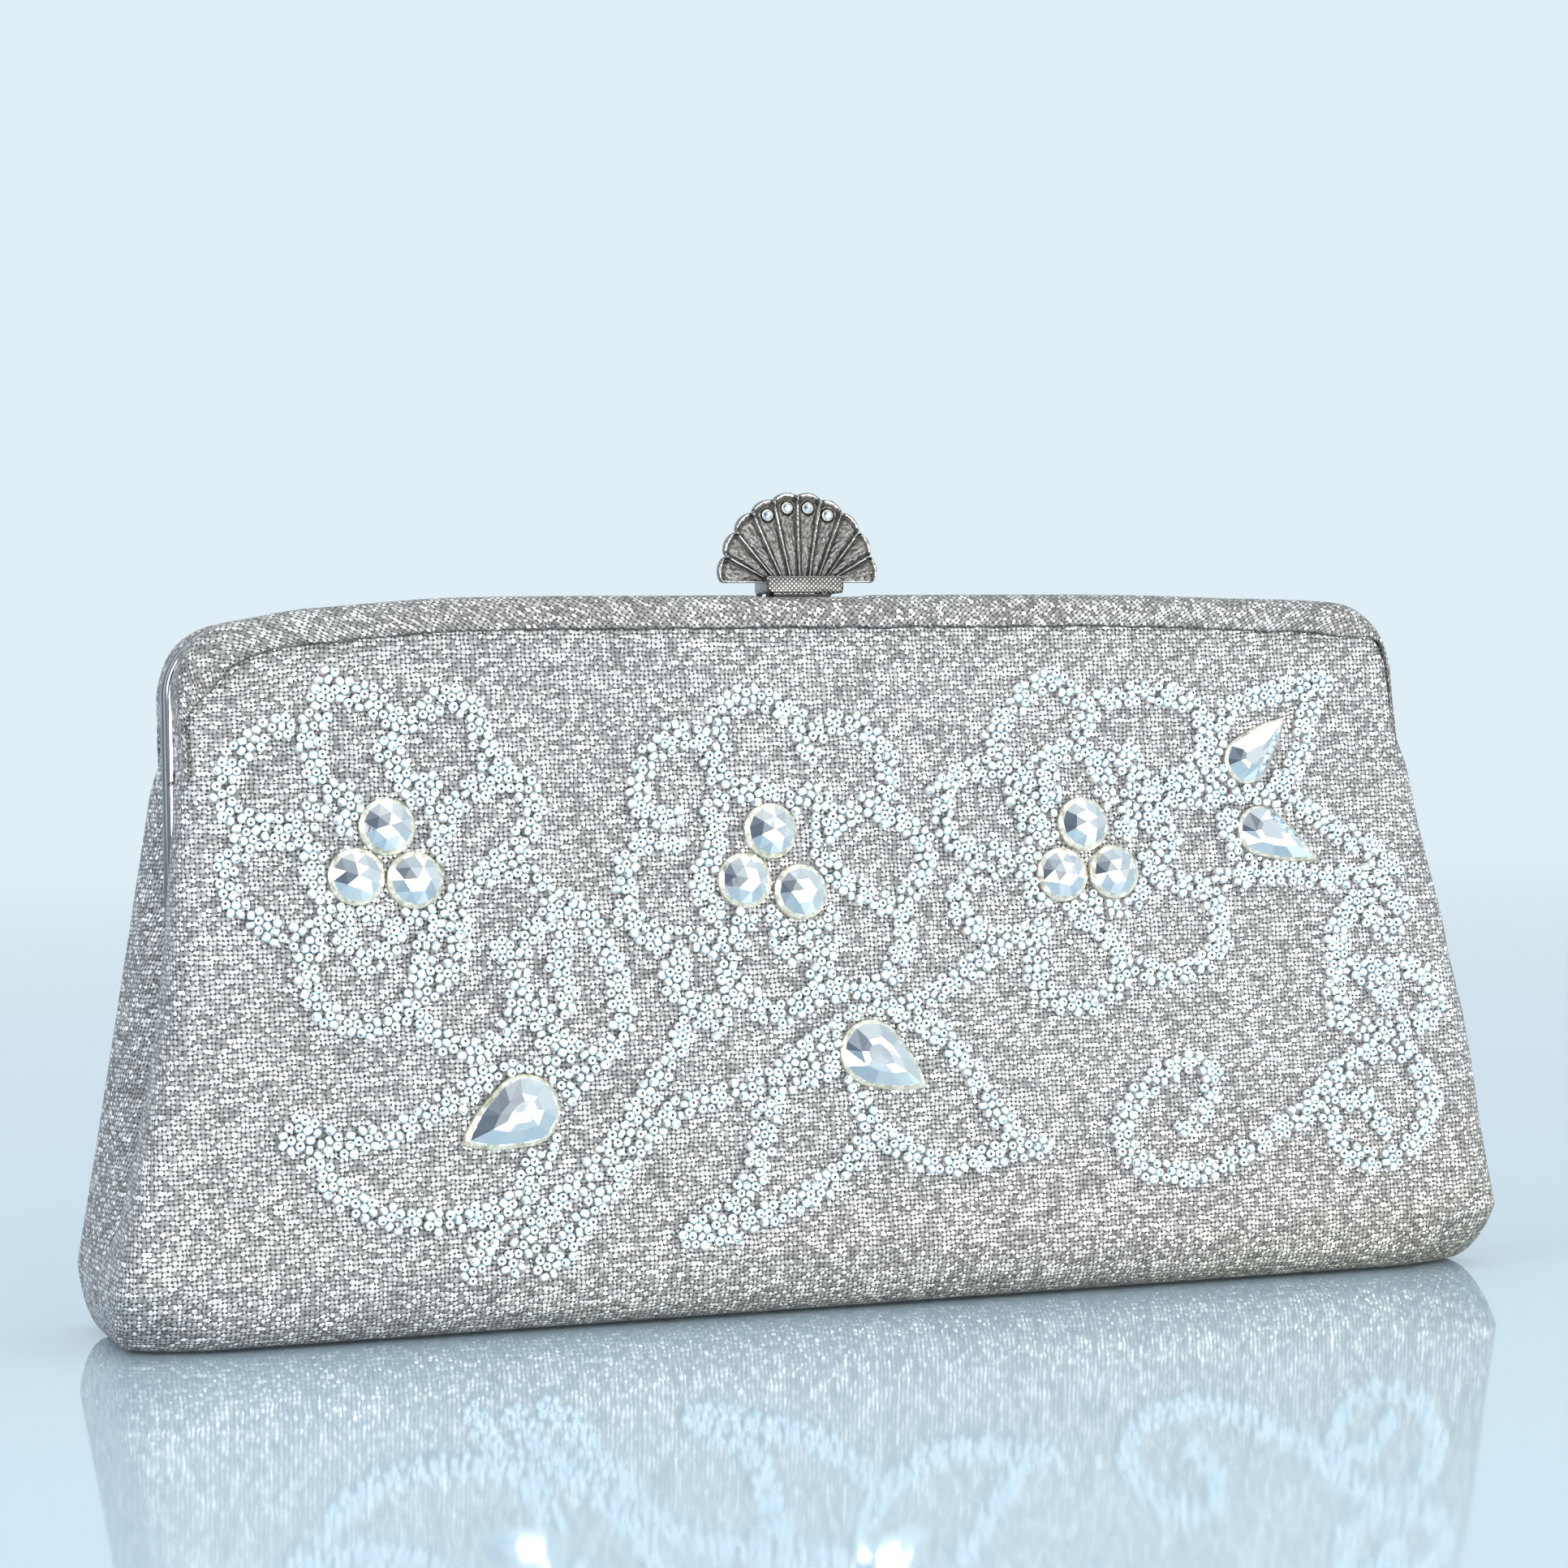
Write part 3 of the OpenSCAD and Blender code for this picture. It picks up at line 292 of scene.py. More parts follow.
def old_silver():
    """Cast antiqued silver: bright on what stands proud, dark in the crevices, grained."""
    m = Nodes("old_silver", Metallic=1.0, Roughness=0.35)
    where = m.place()
    depth = m.attribute("relief")
    grain = m.add("TexVoronoi", feature="SMOOTH_F1")
    m.link(where, grain.inputs["Vector"])
    grain.inputs["Scale"].default_value = 1900.0
    fine = m.noise(where, 3200.0, 3.0, 0.7)
    low = m.math("SUBTRACT", grain.outputs["Distance"], 0.15)
    crevice = m.math("SUBTRACT", 1.0, depth, clamp=True)
    pits = m.math("MULTIPLY", m.ramp(low, [(0.25, 0.0), (0.6, 1.0)]), crevice)
    warm = m.noise(where, 220.0, 2.0, 0.5)
    bright = m.mix(m.ramp(warm, [(0.4, 0.0), (0.7, 0.5)]), (0.27, 0.268, 0.268), (0.26, 0.24, 0.22))
    tone = m.mix(m.ramp(depth, [(0.20, 0.0), (0.75, 1.0)]), (0.045, 0.042, 0.038), bright)
    # Fine cuts that run out from the hinge side, between the ribs.
    spot = m.xyz(where)
    angle = m.math("ARCTAN2", m.math("SUBTRACT", spot["Z"], SHELL_Z * MM), spot["X"])
    cuts = m.ramp(m.math("SINE", m.math("MULTIPLY", angle, 92.0)), [(0.2, 0.0), (0.8, 0.6)])
    low_ground = m.ramp(depth, [(0.5, 1.0), (0.75, 0.0)])
    tone = m.mix(m.math("MULTIPLY", cuts, low_ground), tone, (0.04, 0.037, 0.033))
    m.base(m.mix(m.math("MULTIPLY", pits, 0.75), tone, (0.05, 0.046, 0.042)))
    m.rough(m.ramp(depth, [(0.2, 0.5), (0.85, 0.22)]))
    m.bump(m.math("ADD", m.math("MULTIPLY", grain.outputs["Distance"], -1.0), m.math("MULTIPLY", fine, 0.3)),
           0.7, 0.00012)
    return m.material


def hatched_silver():
    """The clasp's front bar: fine crossed cuts in antiqued silver."""
    m = Nodes("hatched_silver", Metallic=1.0, Roughness=0.3)
    spot = m.xyz(m.place())
    rising, falling = [m.math("SINE", m.math("MULTIPLY", m.math(way, spot["X"], spot["Z"]), 7200.0))
                       for way in ("ADD", "SUBTRACT")]
    cut = m.math("MINIMUM", rising, falling)
    grime = m.noise(m.place(), 500.0, 3.0, 0.6)
    ridge = m.ramp(m.math("MULTIPLY_ADD", cut, 0.5, 0.5), [(0.15, 0.0), (0.7, 1.0)])
    m.base(m.mix(m.math("MULTIPLY", ridge, m.ramp(grime, [(0.3, 0.6), (0.6, 1.0)])),
                 (0.045, 0.042, 0.04), (0.36, 0.35, 0.33)))
    m.rough(m.ramp(grime, [(0.3, 0.25), (0.8, 0.5)]))
    m.bump(ridge, 0.5, 0.0001)
    return m.material


def bead_material():
    """Opaque white glass, very slightly blue, glossy."""
    m = Nodes("white_glass", Roughness=0.22, IOR=1.52)
    m.shader.inputs["Coat Weight"].default_value = 0.35
    m.shader.inputs["Coat Roughness"].default_value = 0.08
    m.shader.inputs["Subsurface Weight"].default_value = 0.0
    each = m.attribute("shade")
    cloud = m.noise(m.place(), 900.0, 2.0, 0.5)
    # Shade 0, on the hole's wall, is painted near-black brown, as painted shade inside the hole; above 0.2 is
    # each bead's own tone.
    tone = m.ramp(each, [(0.0, (0.07, 0.05, 0.045)), (0.2, (0.42, 0.47, 0.50)), (0.3, (0.48, 0.60, 0.67)),
                         (0.65, (0.55, 0.67, 0.73)), (1.0, (0.63, 0.73, 0.78))])
    m.base(m.mix(m.ramp(cloud, [(0.3, 0.0), (0.8, 0.25)]), tone, (0.62, 0.67, 0.69)))
    m.rough(m.ramp(cloud, [(0.3, 0.18), (0.8, 0.34)]))
    m.bump(cloud, 0.15, 0.00005)
    return m.material


def glue_material():
    m = Nodes("glue", Roughness=0.45)
    cloud = m.noise(m.place(), 420.0, 3.0, 0.6)
    m.base(m.ramp(cloud, [(0.3, (0.52, 0.38, 0.32)), (0.6, (0.64, 0.49, 0.42)), (0.8, (0.70, 0.60, 0.53))]))
    m.rough(m.ramp(cloud, [(0.3, 0.3), (0.8, 0.6)]))
    m.bump(cloud, 0.3, 0.0001)
    return m.material


def crystal_material():
    """Foil-backed glass: each facet mirrors the room through its own tilt."""
    m = Nodes("foiled_crystal", Metallic=1.0, Roughness=0.06)
    m.shader.inputs["Coat Weight"].default_value = 0.6
    m.shader.inputs["Coat Roughness"].default_value = 0.03
    each = m.attribute("shade")
    where = m.place()
    cloud = m.noise(where, 380.0, 3.0, 0.6)
    clear = m.ramp(each, [(0.0, (0.66, 0.70, 0.74)), (0.45, (0.84, 0.88, 0.90)), (1.0, (0.97, 0.98, 0.98))])
    m.base(m.mix(m.ramp(cloud, [(0.35, 0.0), (0.8, 0.25)]), clear, (0.83, 0.80, 0.72)))
    m.rough(m.ramp(cloud, [(0.3, 0.03), (0.8, 0.12)]))
    m.bump(m.noise(where, 1500.0, 2.0, 0.5), 0.08, 0.00005)
    return m.material


def crystal_rim_material():
    """The sloping edge of a stone, where the old foil has gone yellow."""
    m = Nodes("crystal_rim", Metallic=0.55, Roughness=0.22)
    m.shader.inputs["Coat Weight"].default_value = 0.8
    m.shader.inputs["Coat Roughness"].default_value = 0.05
    where = m.place()
    cloud = m.noise(where, 700.0, 4.0, 0.65)
    m.base(m.ramp(cloud, [(0.32, (0.34, 0.32, 0.24)), (0.5, (0.62, 0.60, 0.49)), (0.7, (0.84, 0.83, 0.74))]))
    m.rough(m.ramp(cloud, [(0.3, 0.12), (0.7, 0.35)]))
    m.bump(cloud, 0.4, 0.0002)
    return m.material


def satin_material():
    m = Nodes("satin", Roughness=0.42)
    m.shader.inputs["Sheen Weight"].default_value = 0.4
    where = m.place()
    warp = m.noise(m.stretched(where, 0.08), 2600.0, 2.0, 0.6)
    cloud = m.noise(where, 30.0, 3.0, 0.5)
    m.base(m.mix(m.ramp(cloud, [(0.3, 0.0), (0.7, 0.6)]), (0.80, 0.77, 0.71), (0.70, 0.67, 0.61)))
    m.rough(m.ramp(warp, [(0.3, 0.34), (0.7, 0.5)]))
    m.bump(warp, 0.25, 0.00006)
    return m.material


def card_material():
    m = Nodes("grey_board", Roughness=0.9)
    where = m.place()
    fibre = m.noise(where, 900.0, 5.0, 0.7)
    m.base(m.ramp(fibre, [(0.3, (0.42, 0.36, 0.27)), (0.7, (0.55, 0.48, 0.37))]))
    m.bump(fibre, 0.4, 0.0001)
    return m.material


def thread_material():
    m = Nodes("black_thread", Roughness=0.7)
    fibre = m.noise(m.place(), 4000.0, 3.0, 0.6)
    m.base(m.ramp(fibre, [(0.3, (0.01, 0.01, 0.014)), (0.7, (0.05, 0.05, 0.06))]))
    m.bump(fibre, 0.5, 0.00005)
    return m.material


def floor_material():
    """Pale glossy table top that fades into the room far behind the bag."""
    m = Nodes("pale_floor", Roughness=0.05, IOR=1.9)
    cloud = m.noise(m.place(), 1.5, 2.0, 0.5)
    m.base(m.ramp(cloud, [(0.3, (0.38, 0.49, 0.56)), (0.7, (0.40, 0.51, 0.58))]))
    m.rough(m.ramp(cloud, [(0.3, 0.035), (0.7, 0.06)]))
    away = m.add("VectorMath", operation="LENGTH")
    m.link(m.place(), away.inputs[0])
    haze, mixed = m.add("Emission"), m.add("MixShader")
    haze.inputs["Color"].default_value = (*PALE, 1)
    m.link(m.share(away.outputs["Value"], 0.2, 2.8, interpolation_type="SMOOTHSTEP"), mixed.inputs[0])
    m.link(m.shader.outputs[0], mixed.inputs[1])
    m.link(haze.outputs[0], mixed.inputs[2])
    m.link(mixed.outputs[0], m.tree.nodes["Material Output"].inputs[0])
    return m.material


# ------------------------------------------------------------------ the bag's shape, in mm

MM = 0.001
BASE_W, BASE_D, ROUND_Z = 135.0, 25.5, 12.0
FOOT_W, FOOT_D = 130.0, 14.3
FRAME_TOP, TOP_D = 132.2, 9.4
FRAME_W, CORNER_R, RAIL = 121.0, 13.0, 3.2
WALL_Z, WALL_W = 105.0, 120.5
SEAM_W, SEAM_Z, SEAM_R = 115.5, 126.2, 12.0
ARCH_FALL, ARCH_FLAT = 2.4, 50.0     # the arch's top falls this much outside its flat middle
CORNER_TURN = math.radians(86)
HINGE_Z = 66.0
ARM_Y = 0.2
BAND_END_Z = 100.0
FOLD_LOW, FOLD_HIGH = 48.0, 76.0     # the cloth's rows lie closer together between these heights
CLOTH_T, LINING_T = 0.9, 0.35
CLOTH_TOP, LINING_TOP, LINING_IN = 128.8, 128.4, 3.3
LINING_FOLD = 0.8                    # depth of the lining's gathers
LEAN = (BASE_D - TOP_D) / (FRAME_TOP - ROUND_Z)
SPREAD = (BASE_W - WALL_W) / (WALL_Z - ROUND_Z)


def smooth(low, high, x):
    t = min(1.0, max(0.0, (x - low) / (high - low)))
    return t * t * (3 - 2 * t)


def steps(table, x):
    """Straight-line value from a list of (x, value)."""
    for (x0, v0), (x1, v1) in zip(table, table[1:]):
        if x <= x1:
            return v0 + (v1 - v0) * max(0.0, (x - x0) / (x1 - x0))
    return table[-1][1]


def half_d(z):
    return BASE_D - (z - ROUND_Z) * LEAN


def corner_z(top, r):
    """Height of the middle of an arch's corner."""
    return top - ARCH_FALL - r * math.sin(CORNER_TURN)


def arch_w(z, inset):
    """Half width of the frame's arch at a height, moved in by a distance."""
    r, top = CORNER_R - inset * 0.6, FRAME_TOP - inset
    if z > top - ARCH_FALL:
        end = FRAME_W - inset - r + r * math.cos(CORNER_TURN)
        return ARCH_FLAT + (end - ARCH_FLAT) * math.sqrt(max(0.0, (top - z) / ARCH_FALL))
    return FRAME_W - inset - r + math.sqrt(max(0.0, r * r - max(0.0, z - corner_z(top, r)) ** 2))


def half_w(z):
    straight = WALL_W + max(0.0, WALL_Z - z) * SPREAD
    hidden = smooth(98, 106, z)
    return straight * (1 - hidden) + min(straight, arch_w(z, 1.4)) * hidden


def edge_r(z):
    """Radius of the roll between a face and the side."""
    return steps([(0, 5.0), (30, 6.0), (60, 5.0), (100, 3.2), (132, 2.6)], z)


def bare(z, side):
    """How much of the front of the rail the cloth leaves bare along the right (1) or left (-1) arm."""
    along = [(70, 0), (100, 0.5), (112, 0.9), (119, 1.0)] if side > 0 else [(70, 1.6), (100, 1.6), (119, 1.0)]
    return steps(along, z) * (1 - smooth(119, 128.8, z))


def valley(z, side):
    """How far the right (1) or left (-1) side is drawn in at the middle."""
    if z >= 70:
        return max(0.0, half_w(z) - FRAME_W - 0.15 + bare(z, side))
    deeper = steps([(14, 0), (23, 1.0), (36, 1.7), (57, 2.2), (70, 1.6)], z) if side < 0 else 0.0
    return steps([(12, 0), (20, 2.4), (44, 4.9), (66, 4.4), (70, half_w(70) - FRAME_W - 0.15)], z) + deeper


def askew(z, side):
    """How far the front cloth's right (1) or left (-1) edge stands outside the even outline:
    the cloth hangs a little to the right."""
    if side > 0:
        return steps([(12, 1.0), (20, 1.4), (30, 2.1), (40, 2.9), (50, 3.2), (60, 2.8), (69, 2.9),
                      (78, 2.3), (87, 1.8), (96, 1.9), (105, 1.8), (110, 1.4), (116, 1.0),
                      (121, 0.7), (126, 0)], z)
    return -steps([(12, 0.2), (23, 1.5), (36, 2.6), (44, 3.0), (57, 3.7), (66, 3.3), (74, 2.8),
                   (82, 2.2), (92, 2.0), (100, 1.2), (106, 0.3), (112, 0)], z)


def pinch(x, z):
    """The foot narrows towards the bag's ends."""
    return 1 - 0.3 * max(0.0, 1 - z / ROUND_Z) * smooth(115, 135, abs(x))


def puff(x, z):
    """How far the cloth stands out from the flat face: a soft crown with a little unevenness."""
    across = 1 - (x / 128.0) ** 2
    up = math.sin(math.pi * min(1.0, max(0.0, (z - ROUND_Z) / 114.0)))
    ripple = noise.noise(Vector((x / 34, z / 26, 3.1))) * 0.55
    ripple += noise.noise(Vector((x / 12, z / 11, 7.7))) * 0.16
    return max(0.0, across) * up * (1.1 + ripple)


def face_point(x, z):
    """A point on the front cloth."""
    over = abs(x) - (half_w(z) + askew(z, 1 if x > 0 else -1) - edge_r(z))
    r = edge_r(z)
    drop = r - math.sqrt(max(0.0, r * r - min(r, max(0.0, over)) ** 2))
    return Vector((x, -(half_d(z) + puff(x, z)) + drop, z))


def on_face(x, z):
    """A point on the front cloth, with its outward normal and the directions across and up."""
    p = face_point(x, z)
    right = (face_point(x + 0.4, z) - face_point(x - 0.4, z)).normalized()
    up = (face_point(x, z + 0.4) - face_point(x, z - 0.4)).normalized()
    out = right.cross(up).normalized()
    return p, out, right, out.cross(right)


# ------------------------------------------------------------------ mesh helpers


def build(name, verts, faces, materials, uv=None, slots=None, flat=False, shades=None, domain="POINT",
          field="shade"):
    """A mesh object from vertices in mm."""
    mesh = bpy.data.meshes.new(name)
    mesh.from_pydata([(v[0] * MM, v[1] * MM, v[2] * MM) for v in verts], [], faces)
    for material in materials if isinstance(materials, (list, tuple)) else [materials]:
        mesh.materials.append(material)
    if uv:
        layer = mesh.uv_layers.new(name="cloth")
        layer.data.foreach_set("uv", [c for loop in mesh.loops for c in uv[loop.vertex_index]])
    if slots:
        mesh.polygons.foreach_set("material_index", slots)
    mesh.polygons.foreach_set("use_smooth", [not flat] * len(mesh.polygons))
    if shades:
        mesh.attributes.new(field, "FLOAT", domain).data.foreach_set("value", shades)
    mesh.validate()
    mesh.update()
    obj = bpy.data.objects.new(name, mesh)
    bpy.context.collection.objects.link(obj)
    return obj


def bake(obj):
    """Applies the object's modifiers."""
    graph = bpy.context.evaluated_depsgraph_get()
    mesh = bpy.data.meshes.new_from_object(obj.evaluated_get(graph))
    obj.modifiers.clear()
    obj.data = mesh
    return obj


def thicken(obj, thickness):
    solid = obj.modifiers.new("thickness", "SOLIDIFY")
    solid.thickness = thickness * MM
    solid.offset = -1
    return bake(obj)


def grid_faces(rows, columns, loop=False, flip=False):
    faces = []
    for i in range(rows - 1):
        for j in range(columns if loop else columns - 1):
            k = (j + 1) % columns
            quad = (i * columns + j, i * columns + k, (i + 1) * columns + k, (i + 1) * columns + j)
            faces.append(quad[::-1] if flip else quad)
    return faces


def tube(name, path, radius, material, sides=8):
    """A round tube along a list of points, with closed ends."""
    verts, n = [], len(path)
    for i, p in enumerate(path):
        along = (path[min(n - 1, i + 1)] - path[max(0, i - 1)]).normalized()
        a = along.orthogonal().normalized()
        b = along.cross(a)
        r = radius * (0.4 if i in (0, n - 1) else 1)
        verts += [p + (a * math.cos(t) + b * math.sin(t)) * r
                  for t in (2 * math.pi * k / sides for k in range(sides))]
    faces = grid_faces(n, sides, loop=True)
    faces += [tuple(range(sides))[::-1], tuple(range((n - 1) * sides, n * sides))]
    return build(name, verts, faces, material)


# ------------------------------------------------------------------ outer cloth and lining


def shell_rows(inset, top):
    """Heights, half widths and half depths from the top of a shell to its foot."""
    rows = []
    z = top
    while z > ROUND_Z + 0.1:
        rows.append((z, half_w(z) - inset, half_d(z) - inset, 1.0))
        z -= 1.6 if FOLD_LOW - 2 < z < FOLD_HIGH + 2 else 2.6
    turns = 9
    for i in range(turns + 1):
        a = math.pi / 2 * i / turns
        z = ROUND_Z - (ROUND_Z - inset) * math.sin(a)
        full = math.cos(a) ** 0.7
        w = FOOT_W - inset * 0.3 + (BASE_W - FOOT_W - inset * 0.7) * full
        d = FOOT_D + (BASE_D - FOOT_D - inset) * full
        rows.append((z, w, d, 0.0))
    return rows


def front_edge_y(z):
    return steps([(66, 0.12), (70, 0.3), (101, 3.45)], z)


def back_edge_y(z):
    return steps([(66, 0.12), (69, 0.5), (77, 3.45)], z)


def shell(name, inset, top, edge_y, material, thickness, gathers=0.0, even=False):
    """Front half of the outer cloth or of the lining: face, rolled edges, sides and rounded foot."""
    rows = shell_rows(inset, top)
    face_n, roll_n, side_n = 30, 7, 8

    def half_line(z, w, d, crowned, side):
        """One row, from the middle of the face round to the seam at the side."""
        r = max(1.2, edge_r(z) - inset * 0.6)
        extra = 0.0 if even else askew(z, side)
        w += extra
        line = []
        for i in range(face_n + 1):
            x = (w - r) * i / face_n
            if gathers:
                wave = math.sin(x * 0.55 + 2 * noise.noise(Vector((x / 9, z / 40, 0))))
                y = -d + gathers * (0.5 + 0.5 * wave)
            else:
                y = -d - puff(side * x, z) * crowned
            line.append((x, y, z))
        for i in range(1, roll_n + 1):
            a = math.pi / 2 * i / roll_n
            line.append((w - r + r * math.sin(a), -d + r - r * math.cos(a), z))
        draw = max(0.0, valley(z, side) - inset * 0.2)
        edge = edge_y(z) + (0.0 if z < HINGE_Z else inset * 0.4)
        for i in range(1, side_n + 1):
            t = i / side_n
            y = -d + r + (d - r - edge) * t
            sag = draw * (0.35 * t + 0.65 * t ** 3)
            line.append((w - extra * t - sag, y, z))
        return [(side * x, y * pinch(x, z), z) for x, y, z in line]

    def along(start, line, sign, v):
        """Places on the cloth, measured along a row from the middle of the face."""
        across, places = 0.0, []
        for before, point in zip([start] + line, line):
            across += math.dist(point, before)
            places.append((sign * across, -v))
        return places

    verts, uv, last, v = [], [], None, 0.0
    for row in rows:
        left, right = half_line(*row, -1), half_line(*row, 1)
        if last:
            v += math.dist(right[0], last)
        last = right[0]
        uv += along(right[0], left[1:], -1, v)[::-1] + along(right[0], right, 1, v)
        verts += left[:0:-1] + right
    columns = 2 * (face_n + roll_n + side_n) + 1
    return thicken(build(name, verts, grid_faces(len(rows), columns, flip=True), material, uv), thickness)


def turn_to_back(obj):
    """Mirrors a front piece to the back."""
    mesh = obj.data
    mesh.transform(Matrix.Scale(-1, 4, (0, 1, 0)))
    mesh.flip_normals()
    return obj


# ------------------------------------------------------------------ sweeps round the frame's arch


def arch_half(w, top, r, z0, arm_n, corner_n, top_n):
    """Right half of an arch: up the arm, round the corner, then in to the middle of the top."""
    low, end = corner_z(top, r), w - r + r * math.cos(CORNER_TURN)
    points = [(w, z0 + (low - z0) * i / arm_n) for i in range(arm_n)]
    for i in range(corner_n):
        a = CORNER_TURN * i / corner_n
        points.append((w - r + r * math.cos(a), low + r * math.sin(a)))
    for i in range(top_n + 1):
        x = end * (1 - i / top_n)
        s = max(0.0, (x - ARCH_FLAT) / (end - ARCH_FLAT))
        points.append((x, top - ARCH_FALL * s * s))
    return points


def arch_path(z0, arm_n, corner_n, top_n):
    """Stations along the arch from the left arm's end over the top to the right arm's end:
    the point on the frame's outline, and the matching point on the seam under the band."""
    outer = arch_half(FRAME_W, FRAME_TOP, CORNER_R, z0, arm_n, corner_n, top_n)
    inner = arch_half(SEAM_W, SEAM_Z, SEAM_R, z0, arm_n, corner_n, top_n)
    half = [(*p, *q) for p, q in zip(outer, inner)]
    left = [(-a, b, -c, d) for a, b, c, d in half]
    return left + half[-2::-1]


def band(name, material, seed):
    """The cloth band round a half frame: rolled over the frame, turned under at the seam."""
    stations = arch_path(BAND_END_Z, 22, 14, 115)
    rng = random.Random(seed)
    verts, uv, shades = [], [], []
    run = 0.0
    for i, (ox, oz, sx, sz) in enumerate(stations):
        if i:
            run += math.dist((ox, oz), stations[i - 1][:2])
        fade = smooth(123, 130, oz) if ox > 0 else smooth(110, 126, oz)
        proud = 0.12 + 1.0 * fade - 1.6 * (1 - smooth(106, 114, oz))
        lift = 0.35 * fade * smooth(8.5, 13, abs(ox))
        shown = bare(oz, 1 if ox > 0 else -1)
        width = math.dist((ox, oz), (sx, sz)) * (0.17 + 0.83 * fade) - shown * 0.2
        uneven = 0.10 * math.sin(run * 2.9) + rng.uniform(-0.08, 0.08)
        width += (uneven + 0.35 * noise.noise(Vector((run / 6, 4.2, seed)))) * (0.2 + 0.8 * fade)
        dx, dz = sx - ox, sz - oz
        size = math.hypot(dx, dz)
        dx, dz = dx / size, dz / size

        def at(inset, y):
            return (ox + dx * (inset + shown), y, oz + dz * (inset + shown))

        def depth(inset):
            return half_d(oz + dz * (inset + shown))

        roll = min(4.2, width * 0.7)
        swell = 0.25 * noise.noise(Vector((run / 7, 1.5, 0)))
        section = [at(0.0, -ARM_Y - RAIL - 0.1), at(-lift, -ARM_Y - RAIL - 0.9)]
        y_roll = -depth(roll) - proud
        for k in range(7):
            a = math.pi / 2 * k / 6
            section.append(at(roll - (roll + lift) * math.cos(a),
                              y_roll + (roll * 0.85) * (1 - math.sin(a))))
        for share in (0.35, 0.65, 0.85):
            inset = roll + (width - roll) * share
            full = (0.2 + swell) * math.sin(math.pi * share) * fade
            section.append(at(inset, -depth(inset) - proud - full))
        section.append(at(width - 0.40, -depth(width) - proud * 0.85))
        section.append(at(width - 0.12, -depth(width) - proud * 0.60))
        section.append(at(width, -depth(width) - proud * 0.25))
        section.append(at(width - 0.9, -depth(width) + 0.3))
        section.append(at(max(0.5, roll), -depth(roll) + 0.6))
        section.append(at(0.75, -depth(0.0) + roll * 0.7 + 0.4))
        section.append(at(0.7, -ARM_Y - RAIL - 0.1))
        verts += section
        # The turned-under lip is in shadow, and on the right only as far as the open seam goes.
        dark = smooth(0.4, 1.0, fade) if ox > 0 else fade
        shades += [0.0] * 13 + [0.75 * dark] + [dark] * (len(section) - 14)
        lengths, total = [], 0.0
        for k, p in enumerate(section):
            total += math.dist(p, section[k - 1]) if k else 0.0
            lengths.append(total)
        uv += [(run, -q) for q in lengths]
    columns = len(section)
    faces = grid_faces(len(stations), columns, loop=True, flip=True)
    faces += [tuple(range(columns)), tuple(range(len(verts) - columns, len(verts)))[::-1]]
    return build(name, verts, faces, material, uv, shades=shades)


def half_rail(name, material, ear_x, flatness):
    """A half frame: a rounded rail, the flange behind it, and the lapped ears at the hinge."""
    rail_end = HINGE_Z + 3.9
    stations = arch_path(rail_end, 16, 14, 40)
    verts, faces = [], []

    def sweep(profile):
        start, n = len(verts), len(profile)
        for ox, oz, *_ in stations:
            cx = max(-(FRAME_W - CORNER_R), min(FRAME_W - CORNER_R, ox))
            cz = min(corner_z(FRAME_TOP, CORNER_R), oz)
            dx, dz = ox - cx, oz - cz
            size = math.hypot(dx, dz)
            dx, dz = dx / size, dz / size
            verts.extend((ox - dx * inset, y, oz - dz * inset) for inset, y in profile)
        faces.extend(tuple(start + v for v in f) for f in grid_faces(len(stations), n, loop=True))
        faces.append(tuple(start + v for v in range(n))[::-1])
        faces.append(tuple(start + (len(stations) - 1) * n + v for v in range(n)))

    half = RAIL / 2
    profile = []
    for k in range(24):
        a = 2 * math.pi * k / 24
        c, s = math.cos(a), math.sin(a)
        reach = (abs(c) ** flatness + abs(s) ** flatness) ** (-1 / flatness)
        profile.append((half + half * reach * c, -ARM_Y - half + half * reach * s))
    sweep(profile)
    back = -ARM_Y - RAIL
    sweep([(2.3, back + 0.3), (3.1, back + 0.3), (3.1, back - 3.5), (2.3, back - 3.5)])

    thick = RAIL / 2 - 0.1
    for side in (-1, 1):
        outline = [(-ARM_Y - 0.2, rail_end + 1.5), (-ARM_Y - RAIL + 0.2, rail_end + 1.5)]
        outline += [(3.4 * math.cos(a), HINGE_Z + 3.4 * math.sin(a))
                    for a in (math.radians(165 + 13 * k) for k in range(19))]
        for x, shrink in ((ear_x, 0.25), (ear_x + 0.25, 0), (ear_x + thick - 0.25, 0), (ear_x + thick, 0.25)):
            cy, cz = -ARM_Y - 1.0, HINGE_Z + 1
            for y, z in outline:
                size = math.hypot(y - cy, z - cz)
                verts.append((side * x, y - (y - cy) / size * shrink, z - (z - cz) / size * shrink))
        n = len(outline)
        start = len(verts) - 4 * n
        for f in grid_faces(4, n, loop=True):
            quad = tuple(start + v for v in f)
            faces.append(quad if side > 0 else quad[::-1])
        ends = [tuple(start + v for v in range(n)), tuple(start + 3 * n + v for v in range(n))]
        faces.append(ends[0][::-1] if side > 0 else ends[0])
        faces.append(ends[1] if side > 0 else ends[1][::-1])
    return build(name, verts, faces, material)


def hung(obj):
    """Lets the arch's left corner hang lower than its right one."""
    for vert in obj.data.vertices:
        x, z = vert.co.x / MM, vert.co.z / MM
        drop = 0.6 * smooth(70, 95, -x) + 1.5 * smooth(95, 115, -x) - 0.7 * smooth(80, 108, x)
        vert.co.z -= drop * smooth(104, 124, z) * MM
    return obj


def recalculated(obj):
    """Makes every face look outwards."""
    bm = bmesh.new()
    bm.from_mesh(obj.data)
    bmesh.ops.recalc_face_normals(bm, faces=bm.faces)
    bm.to_mesh(obj.data)
    bm.free()
    return obj


# ------------------------------------------------------------------ the clasp

